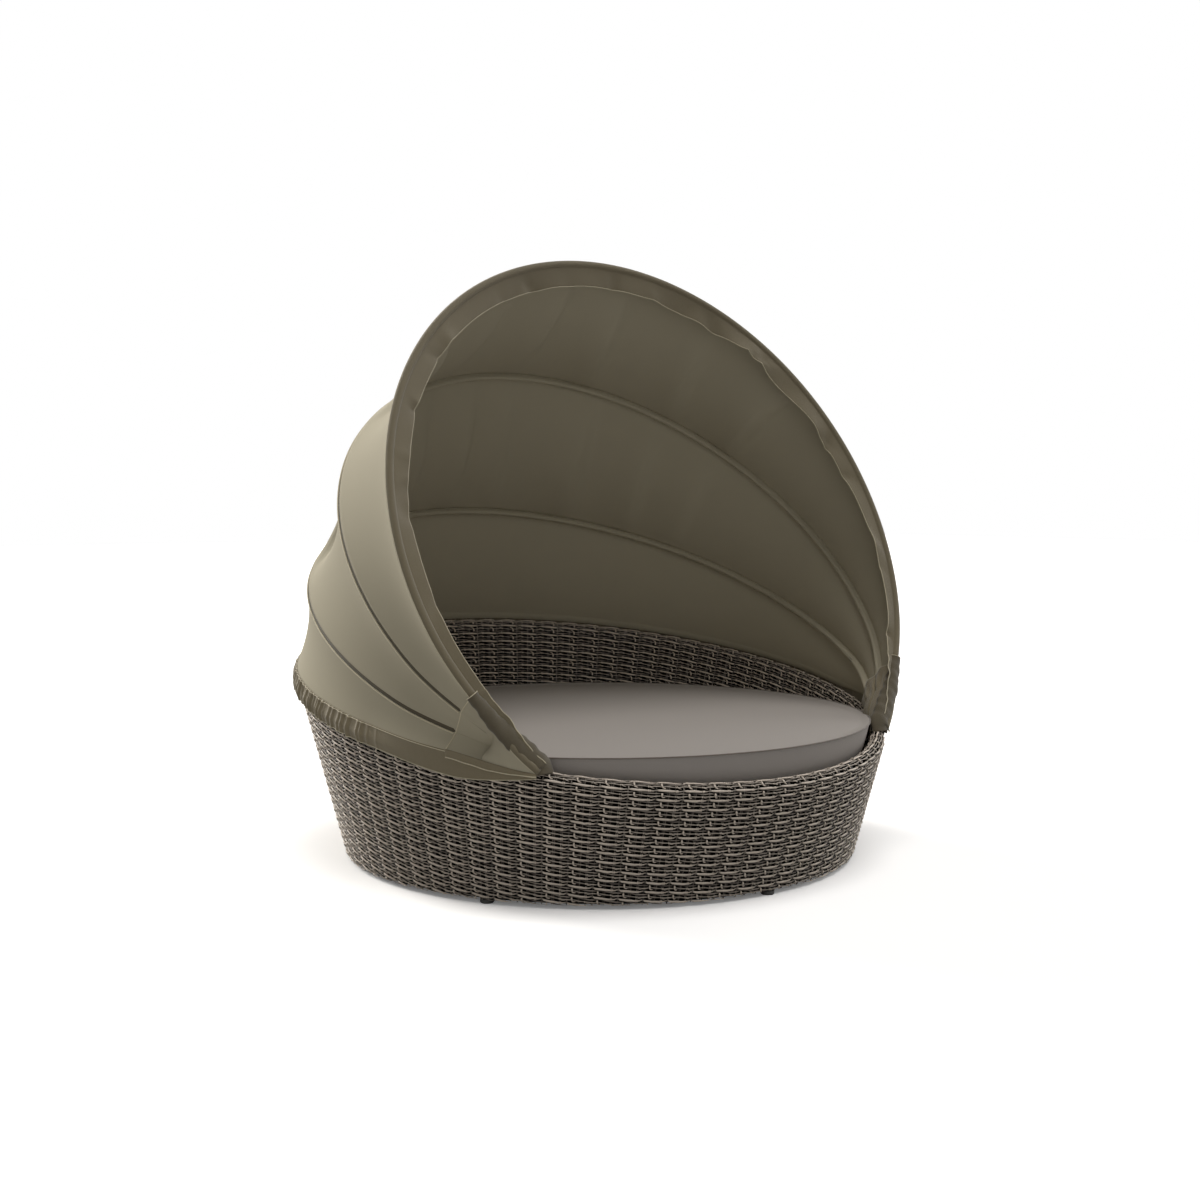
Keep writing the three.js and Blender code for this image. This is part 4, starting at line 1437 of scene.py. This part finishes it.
    def off_rim(self, turn: Array, up: Array, proud: float = 0.0,
                foot_proud: float = 0.0) -> Array:
        """Points between the rim and the rear hoop: a straight line between them, drawn in.

        Args:
            turn: Angles round the arc.
            up: Shares of the way up the gore.
            proud: How far the upper end stands over the middle of the cloth.
            foot_proud: The same for the lower end.

        Returns:
            The points.
        """
        hoop = Hoop.REAR
        reach = self.shape.reach(turn)
        head = self.shape.at(hoop.place, turn, self.outset + self.patch(reach) + proud,
                             hoop.angle - self.gap(reach, hoop) / reach)
        drop, standoff = self.seam(turn)
        foot = self.shape.tub.rim_cloth(turn, drop, standoff + foot_proud)
        spread = hoop.angle - math.atan(self.shape.tub.tilt)
        sink = self.sink(turn, up, spread, self.rear_sag)[..., None]
        inward = np.stack((-np.sin(turn), -np.cos(turn), 0 * turn), -1)
        return between(foot, head, up[..., None]) + inward * sink

    def upper_gore(self, lower: Hoop, upper: Hoop) -> tuple[Array, Array]:
        """The gore between two hoops with its feet, which fan out along the rim.

        Args:
            lower: The hoop at its lower edge.
            upper: The hoop at its upper edge.

        Returns:
            The points, and how far up the gore each of them is.
        """
        turn, up = self.grid()
        arc = self.on_gore(lower, upper, turn, up)
        share = (1 - lower.place - (upper.place - lower.place) * up[:, 0]) / 2
        back = self.tip + (self.shape.sweep - self.tip) * share
        foot = self.shape.tub.rim_cloth(back, self.seam(back)[0], self.leg_standoff + 0 * share)
        points = self.with_legs(arc, foot)
        return points, up + 0 * points[..., 0]

    def rear_gore(self) -> tuple[Array, Array]:
        """The gore between the rim and the rear hoop, its foot tucked in under the seam.

        Returns:
            The points, and how far up the gore each of them is.
        """
        turn, up = self.grid()
        drop, standoff = self.seam(turn)
        tuck = self.shape.tub.rim_cloth(turn, drop + self.tuck * self.over_crown(turn) + MM,
                                        standoff - MM)
        points = np.concatenate((tuck, self.off_rim(turn, up)))
        return points, np.concatenate((up[:1], up)) + 0 * points[..., 0]

    def add_gore(self, name: str, grid: tuple[Array, Array], bodies: tuple[str, str],
                 replaces: tuple[str, ...], rests_on: list[str]) -> None:
        """Wall the grid, dress it, bend it between its two bodies and declare its cut.

        Args:
            name: The piece's name.
            grid: Its points, and how far up it each of them is.
            bodies: The bodies of its lower and its upper edge.
            replaces: The nodes that it stands for.
            rests_on: The pieces that hold it up.
        """
        points, up = grid
        flat = np.stack((way_along(points[0]) + 0 * up, up * run_length(points, 0)), -1)
        piece = dress(shell(points, self.cloth, flat).mesh(name), Finish.CANOPY, None, replaces)
        self.bend(piece, bodies, np.tile(up.ravel(), 2))
        self.declare(piece, points, rests_on)

    def bend(self, piece: bpy.types.Object, bodies: tuple[str, str], share: Array) -> None:
        """Bend a piece between two bodies, each point by its own share of the way between them.

        Args:
            piece: The piece.
            bodies: The two bodies.
            share: For each point, nought on the first body and one on the second.
        """
        first = Vector((0, self.shape.hinge_y + 0.3, self.shape.hinge_z))
        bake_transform(piece, *bodies, start=first, end=first + Vector((0, 0, 0.6)))
        weights = piece.data.attributes["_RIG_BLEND"]
        weights.data.foreach_set("value", share.astype(np.float32))

    def declare(self, piece: bpy.types.Object, points: Array, rests_on: list[str],
                count: int = 1) -> None:
        """Say how large the flat cut is: its longest lines both ways, and its area.

        Args:
            piece: The piece.
            points: The grid of one of its parts.
            rests_on: The pieces that hold it up; not used.
            count: How many such parts the piece has.
        """
        wide, long = count * run_length(points, 1), run_length(points, 0)
        area = count * grid_area(points)
        log.info("%s: cut %.3f by %.3f m, %.3f m2", piece.name, wide, long, area)

    def hoop_line(self, hoop: Hoop, outward: float, ahead: float, turn: Array) -> Array:
        """A line along a hoop: outward in its plane, and ahead of the plane by a length."""
        return self.shape.at(hoop.place, turn, outward, hoop.angle) + hoop.ahead * ahead

    def sleeve(self, hoop: Hoop) -> None:
        """The sleeve a hoop runs in, with a band on its back that closes the gores' gap, darkened as painted
        shade.

        The sleeve's section hangs from the band's width and leaves room inside the tube's bend.

        Args:
            hoop: The hoop.
        """
        turn = np.linspace(-1, 1, self.sleeve_steps) * self.shape.sweep * 0.99
        path = self.hoop_line(hoop, 0.0, 0.0, turn)[None]
        lift = np.broadcast_to(hoop.ahead, path.shape)
        side = unit(np.cross(lift, np.gradient(path, axis=1)))
        inner = self.shape.at(hoop.place, 0.0, -self.shape.radius / 2, hoop.angle)
        side = np.where((side * (path - inner)).sum(-1, keepdims=True) < 0, -side, side)
        whole = np.concatenate((SLEEVE_HALF, SLEEVE_HALF[:0:-1] * np.array((1, -1))))
        layers = (
            ("sleeve", whole, np.arange(len(whole)) * 3.6 * MM, Finish.CANOPY),
            ("band", BAND_SECTION, np.array((0.0, 18.0, 18.0, 0.0)) * MM, Finish.BAND),
        )
        for layer, section, around, finish in layers:
            shape = swept(path, side, lift, section, False)
            shape.uv = tube_uv(turn * 0.8, around)
            dress(shape.mesh(f"{hoop.label}_{layer}"), finish, hoop.body)

    def line(self, path: Array, thread: Thread, eye: float) -> Shape:
        """A line of thread: a small oval section with one axis away from a point over the floor.

        Args:
            path: The points of the line.
            thread: Which thread.
            eye: The height of the point.

        Returns:
            The tube.
        """
        along = unit(np.gradient(path[None], axis=1))
        side = unit(np.cross(along, unit(path[None] - UP * eye)))
        section = oval(thread.value, thread.value, self.thread_sides)
        shape = swept(path[None], side, np.cross(side, along), section, False)
        shape.uv = tube_uv(np.arange(len(path)) * 4 * MM, np.arange(self.thread_sides) * 0.5 * MM)
        return shape

    def cord(self, name: str, path: Array, thread: Thread, body: str) -> None:
        """Stitching or piping that runs over both sides of the canopy."""
        shape = self.line(path, thread, self.shape.tub.rim_height)
        dress(shape.mesh(name), Finish.THREAD, body)

    def stitching(self, name: str, path: Array, thread: Thread, bodies: tuple[str, ...],
                  share: Array | None = None) -> None:
        """A stitched edge that is alike on both sides of the canopy.

        Args:
            name: The piece's name.
            path: The line on the right-hand side.
            thread: Which thread.
            bodies: The body that it rides on, or the two that it bends between.
            share: For two bodies, how far each point is from the first to the second.
        """
        piece = self.line(path, thread, self.eye).with_mirror_image().mesh(name)
        dress(piece, Finish.THREAD, bodies[0] if share is None else None)
        if share is not None:
            self.bend(piece, bodies, np.tile(np.repeat(share, self.thread_sides), 2))

    def corner_lining(self, lower: Hoop | None, upper: Hoop) -> None:
        """The inner layer over a hinge: a fan inside two hoops, or inside one and the rim.

        Each line of it goes from the border down the inside of the legs to the rim's shoulder.

        Args:
            lower: The hoop at its lower edge, or none for the rim.
            upper: The hoop at its upper edge.
        """
        size, tub = self.lining, self.shape.tub
        up = np.linspace(0, 1, size.rows + 1)[:, None]
        turn = np.linspace(self.border_turn(size.reach), self.shape.sweep, size.columns + 1)[None]
        if lower is None:
            low, place = math.atan(tub.tilt), upper.place + 0 * up
            share = 1 + size.fan * (1 - up[:, 0])
        else:
            low, place = lower.angle, lower.place + (upper.place - lower.place) * up
            share = (1 - place[:, 0]) / 2
        crumple = size.crumple * np.sin(9 * up) * np.sin(40 * turn)
        inside = crumple - size.hollow * up * (1 - up) - self.shape.tube / 2 - size.inset
        arc = self.shape.at(place, turn, inside, low + (upper.angle - low) * up)
        if lower is None:
            rim = tub.on_wall(math.pi / 2 - turn, size.rim_run + 0 * turn,
                              size.rim_lift + 0 * turn)
            arc = between(rim, arc, up[..., None])
        back = self.tip + (self.shape.sweep - self.tip) * share
        foot = tub.on_wall(math.pi / 2 - back, size.foot_run + 0 * back, size.foot_lift + 0 * back)
        along = (np.arange(1, size.leg_columns + 1) / size.leg_columns)[None, :, None]
        leg = between(arc[:, -1:], foot[:, None], along)
        leg[..., 0] -= size.leg_inset * np.sin(np.pi * along[..., 0])
        points = np.concatenate((arc, leg), axis=1)
        way = 0 * points[..., 0]
        flat = np.stack((np.arange(points.shape[1]) * 8 * MM + way, up * 0.1 + way), -1)
        name = f"{upper.label}_corner_lining"
        bodies = ("base" if lower is None else lower.body, upper.body)
        piece = dress(shell(points, self.cloth, flat).with_mirror_image().mesh(name), Finish.SLEEVE)
        self.bend(piece, bodies, np.tile((up + way).ravel(), 4))
        self.declare(piece, points, [upper.tube], 2)
        self.stitching(f"{name}_edge", points[:, 0], Thread.CORNER, bodies, up[:, 0])

    def hem_pocket(self) -> None:
        """The pocket over each front leg: an oval that widens down to the hinge, and is crumpled.

        It follows the leg's line to the pivot and goes on to the rim; its skin is moved by waves
        across it whose phase turns with the angle. Three last rings draw it shut.
        """
        hoop, size = Hoop.FRONT, self.pocket
        turn = np.linspace(self.border_turn(self.patch_reach + size.over_patch), self.shape.sweep,
                           size.arm_steps + 1)
        arm = self.hoop_line(hoop, size.proud, size.proud, turn)
        hinge = np.array((self.shape.hinge_x - size.inward, self.shape.hinge_y,
                          self.shape.hinge_z))
        foot = hinge + np.array(size.foot)
        leg, end = (np.linspace(0, 1, steps + 1)[1:, None]
                    for steps in (size.leg_steps, size.foot_steps))
        path = np.concatenate((arm, between(arm[-1], hinge, leg), between(hinge, foot, end)))
        share = np.linspace(0, 1, len(path))[:, None]
        wide = size.wide + size.wider * ease(share * size.haste)
        deep = size.deep + size.deeper * ease(share)
        tangent = unit(np.gradient(path, axis=0))
        side = unit(np.cross(tangent, hoop.ahead))
        lift = np.cross(side, tangent)
        corner = 2 * math.pi * np.arange(size.sides)[None] / size.sides
        run = way_along(path)[:, None]
        crumple = (1 + size.ripple * np.sin(run * 190 + 2.2 * np.sin(corner + 0.7))
                   + size.fine_ripple * np.sin(run * 83 - 3 * corner)) / 2
        points = (path[:, None] + side[:, None] * (np.cos(corner) * wide * crumple)[..., None]
                  + lift[:, None] * (np.sin(corner) * deep * crumple)[..., None])
        edge = np.concatenate((points[0], points[0, :1]))
        shares = np.array(size.closing).reshape(-1, 1, 1)
        points = np.concatenate((points, between(path[-1], points[-1:], shares)))
        run = np.concatenate((run, np.repeat(run[-1:], len(shares), axis=0)))
        flat = np.stack((run + 0 * corner, corner * 0.012 + 0 * run), -1)
        pocket = Shape(points.reshape(-1, 3), grid_faces(*points.shape[:2], False, True),
                       flat.reshape(-1, 2))
        # The pockets take the darker band cloth: painted shade.
        dress(pocket.with_mirror_image().mesh("hem_pockets"), Finish.BAND, hoop.body)
        self.stitching("hem_pocket_edge", edge, Thread.CORNER, (hoop.body,))

    def patch_stitching(self) -> None:
        """The stitched edges of the corner patches over the three gores, and their hem."""
        border = np.full((1, 1), self.border_turn(self.patch_reach))
        up = np.linspace(0, 1, self.border_steps)
        for lower, upper in ((Hoop.REAR, Hoop.MIDDLE), (Hoop.MIDDLE, Hoop.FRONT)):
            # Pale thread along each patch's edge: stitching, and partly a painted highlight on the edge.
            line = self.on_gore(lower, upper, border, up[:, None], self.proud)[:, 0]
            self.stitching(f"{upper.label}_patch_edge", line, Thread.PATCH,
                           (lower.body, upper.body), up)
        line = self.off_rim(border, up[:, None], self.proud, self.patch_layer + self.proud)[:, 0]
        self.stitching("rear_patch_edge", line, Thread.PATCH, ("base", Hoop.REAR.body), up)
        turn = np.linspace(border[0, 0], self.tip, 90)[None]
        down = np.linspace(0, 1, 7)[:, None]
        deep = self.patch_drop * between(0.35, 1.0, ease((self.tip - turn) / math.radians(9)))
        wave = 0.0011 * np.sin(turn * 95) * down + 0.0008 * np.sin(turn * 41 + 1) * down
        hem = self.shape.tub.rim_cloth(
            turn + 0 * down, self.seam(turn)[0] - 0.003 + deep * down,
            0.0050 + 0.0030 * np.sin(np.pi / 2 * down) + wave)
        flat = np.stack((turn * 0.85 + 0 * down, deep * down), -1)
        piece = shell(hem, self.cloth, flat).with_mirror_image().mesh("patch_hem")
        self.declare(dress(piece, Finish.SLEEVE, "base"), hem, ["skirt_cloth"], 2)
        outside = hem[-1] * np.array((1.0015, 1.0015, 1.0))
        self.stitching("patch_foot_edge", outside, Thread.PATCH, ("base",))

    def crumple(self, length: Array, from_tip: Array, hang: Array) -> tuple[Array, Array]:
        """The unevenness of the hem, out of a seeded draw.

        It is the sum of soft bells, of sharp creases, and of two waves near the tips, all growing
        down the hem and slanting across it.

        Args:
            length: How far along the edge each line of the hem is.
            from_tip: How far it is from the nearer tip.
            hang: Shares of the way down the hem.

        Returns:
            How far each point stands out, and how deeply the creases notch the edge.
        """
        size = self.hem
        rng = np.random.default_rng(size.seed)
        way, whole = length[:, None], length[-1]
        out, notch = 0 * way * hang, 0 * way
        for centre, wide, slant in zip(rng.uniform(0, whole, size.bells),
                                       rng.uniform(0.02, 0.07, size.bells),
                                       rng.uniform(-0.06, 0.06, size.bells)):
            line = (way - centre - slant * hang) / wide
            out = out + rng.uniform(-size.bell_height, size.bell_height) * bell(line) * hang
        for centre, slant, deep in zip(
            rng.uniform(0.3, whole - 0.3, size.creases), rng.uniform(-0.05, 0.05, size.creases),
            rng.uniform(-size.crease_height, size.crease_height, size.creases),
        ):
            line = (way - centre - slant * hang) / size.crease_width
            out = out + deep * crease(line) * hang ** 0.8
            notch = notch + abs(deep) / size.crease_height * crease(line[:, -1:])
        near_tip = 1 - ease((from_tip - size.pinch_reach) / size.pinch_fade)
        waves = np.sin(length * 141) + 0.7 * np.sin(length * 83 + 1.3)
        return out + (size.pinch * waves * near_tip)[:, None] * hang, notch

    def front_hem(self, edge: Array) -> None:
        """The hem: an arc about the tube, then a fall inwards, less deep at the tips.

        Args:
            edge: The front edge of the front gore, from tip to tip.
        """
        hoop, size = Hoop.FRONT, self.hem
        inward = unit(np.cross(unit(np.gradient(edge, axis=0)), hoop.ahead))
        top = len(edge) // 2
        middle = self.shape.at(hoop.place, 0.0, 0.0, hoop.angle) - edge[top]
        if float(inward[top] @ middle) < 0:
            inward = -inward
        length = way_along(edge)
        from_tip = np.minimum(length, length[-1] - length)
        hang = np.linspace(0, 1, size.fall_rows + 1)[None, 1:]
        crumple, notch = self.crumple(length, from_tip, hang)
        full = np.sin(np.pi / 2 * np.clip(from_tip / size.tip_run, 0, 1))
        depth = size.depth * between(size.tip_share, 1.0, full)
        lean = size.tip_lean - size.top_lean * np.sin(np.pi * length / length[-1]) ** 1.5
        angle = np.linspace(0, size.turned, size.turned_rows)
        over, ahead = self.outset * (1 - np.cos(angle)), self.outset * np.sin(angle)
        fall = over[-1] + (depth[:, None] * (1 - size.notch * notch) - 0.004) * hang
        out = ahead[-1] + crumple + lean[:, None] * hang
        way = 0 * length[:, None]
        a = np.concatenate((over + way, fall), axis=1)[..., None]
        b = np.concatenate((ahead + way, out), axis=1)[..., None]
        points = (edge[:, None] + inward[:, None] * a + hoop.ahead * b).transpose(1, 0, 2)
        steps = np.arange(1, len(points) + 1)[:, None] * 4 * MM
        flat = np.stack(np.broadcast_arrays(length[None], steps), -1)
        # The hem is finished in a darker copy of the canopy cloth: painted shade.
        piece = dress(shell(points, self.cloth, flat).mesh("front_hem_cloth"), Finish.HEM,
                      hoop.body, ("front_hem",))
        self.declare(piece, points, [hoop.tube])
        self.cord("hem_stitching", points[-1], Thread.EDGE, hoop.body)
        # A pale line along the hem's fold: painted highlight on the turned edge.
        fold = points[0] - inward * 0.0004 + hoop.ahead * 0.0006
        self.cord("hem_fold_highlight", fold, Thread.FINE, hoop.body)

    def skirt(self) -> None:
        """The gathered skirt outside the rim, which flares a little from its seam to its foot.

        The gathers are narrow ridges of an uneven phase, gone near the hinges: a cosine, raised
        from nought to one, to its fifth or sixth power.
        """
        size = self.gathered
        turn = np.linspace(-1, 1, size.columns + 1)[None] * self.tip
        down = np.linspace(0, 1, size.rows + 1)[:, None]
        full = np.sin(np.pi / 2 * np.clip((self.tip - np.abs(turn)) / size.tip_fade, 0, 1))
        drop, standoff = self.seam(turn)
        foot = size.foot + size.lower * beyond(turn, 100, 20)
        depth = (foot - drop) * between(size.tip_share, 1.0, full)
        slant = 0.006 * np.sin(9.0 * turn) * down
        phase = ((turn + slant) * size.gathers + 2.6 * np.sin(5.1 * turn + 0.6)
                 + 1.5 * np.sin(13.7 * turn))
        ridge = (0.5 + 0.5 * np.cos(2 * phase)) ** 5 * (0.75 + 0.25 * np.sin(phase * 0.61 + 1.0))
        second = (0.5 + 0.5 * np.cos(2 * phase + 2.2)) ** 6 * (0.45 + 0.4 * np.sin(phase * 0.83))
        fade = 1 - beyond(turn, 97, 9)
        gather = size.gather * (ridge + second) * between(size.flat_gather, 1.0, fade)
        flare = (size.standoff + size.flare * fade - standoff) * ease(down / 0.7)
        hollow = size.hollow * fade * np.sin(np.pi * down) * np.sin(phase * 0.5 + 1.7)
        out = standoff + MM + flare + hollow + gather * ease((down + 0.02) / 0.12)
        points = self.shape.tub.rim_cloth(turn, drop + depth * down, out)
        flat = np.stack(np.broadcast_arrays(turn * self.shape.tub.rim_radius, depth * down), -1)
        piece = dress(shell(points, self.cloth, flat).mesh("skirt_cloth"), Finish.SLEEVE, "base",
                      ("skirt",))
        self.declare(piece, points, ["rear_gore"])
        for name, row, grown, thread in (("skirt_stitching", 1, 1.0016, Thread.FINE),
                                         ("skirt_edge", -1, 1.001, Thread.EDGE)):
            self.cord(name, points[row] * np.array((grown, grown, 1.0)), thread, "base")

    def build(self) -> None:
        """Make the cloth from the rim up, then its sleeves, piping, stitching and linings."""
        rear, middle, front = Hoop
        self.add_gore("rear_gore", self.rear_gore(), ("base", rear.body), ("rear_panel",),
                      [rear.tube, "outer_bold"])
        uppers = ((rear, middle, ("middle_panel", "corner_patch_left", "corner_patch_right")),
                  (middle, front, ("front_panel",)))
        for lower, upper, replaces in uppers:
            gore = self.upper_gore(lower, upper)
            self.add_gore(f"{upper.label}_gore", gore, (lower.body, upper.body), replaces,
                          [lower.tube, upper.tube])
        self.front_hem(gore[0][-1])
        self.skirt()
        for hoop in (rear, middle):
            self.sleeve(hoop)
            turn = np.linspace(-1, 1, self.piping_steps) * self.shape.sweep
            turn = turn[self.shape.reach(turn) > self.patch_reach]
            # Pale piping below each band, partly a painted highlight on the band's lower edge.
            line = self.hoop_line(hoop, self.outset + 0.0014, -self.band - 0.0014, turn)
            self.cord(f"{hoop.label}_piping", line, Thread.PIPING, hoop.body)
        self.patch_stitching()
        self.hem_pocket()
        for lower, upper in ((None, rear), (rear, middle), (middle, front)):
            self.corner_lining(lower, upper)


# The studio


@dataclass(frozen=True)
class Lamp:
    """A broad far lamp, by the direction that it shines from and its apparent width, in degrees."""

    name: str
    azimuth: float
    elevation: float
    strength: float
    spread: float
    tint: tuple[float, float, float]


@dataclass
class Studio:
    """The camera where the photograph was taken from, a pale floor and soft light."""

    azimuth: float = -36.72
    elevation: float = 3.72
    distance: float = 4.491
    target: tuple[float, float, float] = (0.0, 0.0, 0.7166)
    lens: float = 46.44
    ambient: float = 0.12
    floor_reach: float = 30.0
    floor_bounce: float = 0.42
    floor_seen: float = 1.34
    floor_glow: float = 0.14
    lamps: tuple[Lamp, ...] = (
        Lamp("key_lamp", -164.0, 27.0, 2.65, 28.0, (1.0, 0.97, 0.92)),
        Lamp("top_lamp", 10.0, 78.0, 1.3, 40.0, (1.0, 0.98, 0.96)),
        Lamp("front_lamp", -20.0, 34.0, 0.24, 60.0, (1.0, 0.99, 0.98)),
        Lamp("right_lamp", 85.0, 24.0, 0.7, 50.0, (1.0, 0.99, 0.98)),
    )

    def stand(self, data: bpy.types.ID, azimuth: float, elevation: float,
              distance: float = 0.0) -> bpy.types.Object:
        """Put a camera or a lamp into the scene, turned to look in from a direction.

        Args:
            data: The camera's or the lamp's own data.
            azimuth: The direction's angle round from the front, in degrees.
            elevation: Its angle over the level, in degrees.
            distance: How far from the target the object stands.

        Returns:
            The object.
        """
        turn, rise = math.radians(azimuth), math.radians(elevation)
        back = Vector((math.sin(turn) * math.cos(rise), -math.cos(turn) * math.cos(rise),
                       math.sin(rise)))
        item = bpy.data.objects.new(data.name, data)
        item.location = Vector(self.target) + back * distance
        item.rotation_euler = back.to_track_quat("Z", "Y").to_euler()
        bpy.context.scene.collection.objects.link(item)
        return item

    def camera(self) -> None:
        """Stand the camera back from the target along the line of sight."""
        data = bpy.data.cameras.new("camera")
        data.lens, data.sensor_width = self.lens, 36.0
        bpy.context.scene.camera = self.stand(data, self.azimuth, self.elevation, self.distance)

    def world(self) -> None:
        """Grey light all round, and white where the camera, gloss or glass sees past the object."""
        n = Nodes(bpy.data.worlds.new("studio"))
        bpy.context.scene.world = n.owner
        n.tree.nodes.clear()
        rays = n.add("LightPath").outputs
        past = n.sum("MAXIMUM", rays["Is Glossy Ray"], rays["Is Transmission Ray"])
        share = n.sum("MAXIMUM", rays["Is Camera Ray"], past)
        light = n.add("Background", color=(1.0, 0.99, 0.97, 1.0), strength=self.ambient)
        white = n.add("Background", color=(1.0, 1.0, 1.0, 1.0), strength=1.0)
        mix = n.add("MixShader")
        n.feed(mix.inputs, (share, light.outputs[0], white.outputs[0]))
        n.add("OutputWorld", surface=mix.outputs[0])

    def floor(self) -> None:
        """A wide pale floor: whiter where the camera sees it than where it throws light back."""
        side = np.linspace(-self.floor_reach, self.floor_reach, 3)
        x, y = np.meshgrid(side, side, indexing="ij")
        points = np.stack((x, y, 0 * x), -1).reshape(-1, 3)
        piece = Shape(points, grid_faces(3, 3)).mesh("floor")
        n = Nodes(bpy.data.materials.new("pale_floor"))
        seen = n.add("LightPath").outputs["Is Camera Ray"]
        bounce, pale = ((grey, grey, grey, 1.0) for grey in (self.floor_bounce, self.floor_seen))
        n.put(n.shader, roughness=0.9, base_color=n.blend(seen, bounce, pale),
              emission_color=(1.0, 1.0, 1.0, 1.0),
              emission_strength=n.sum("MULTIPLY", seen, self.floor_glow))
        piece.data.materials.append(n.owner)

    def build(self) -> None:
        """Set the look of the picture and light it."""
        bpy.context.scene.view_settings.view_transform = "Standard"
        self.camera()
        self.world()
        self.floor()
        for lamp in self.lamps:
            data = bpy.data.lights.new(lamp.name, "SUN")
            data.energy, data.angle = lamp.strength, math.radians(lamp.spread)
            data.color = lamp.tint
            self.stand(data, lamp.azimuth, lamp.elevation)


def main() -> None:
    """Build the daybed from the floor up and light it."""
    logging.basicConfig(level=logging.INFO, format="%(name)s: %(message)s")
    tub = TubShape()
    Studio().build()
    TubFrame().build()
    Weave(tub).build()
    Cushion(tub).build()
    Canopy(CanopyShape(tub)).build()


if __name__ == "__main__":
    main()
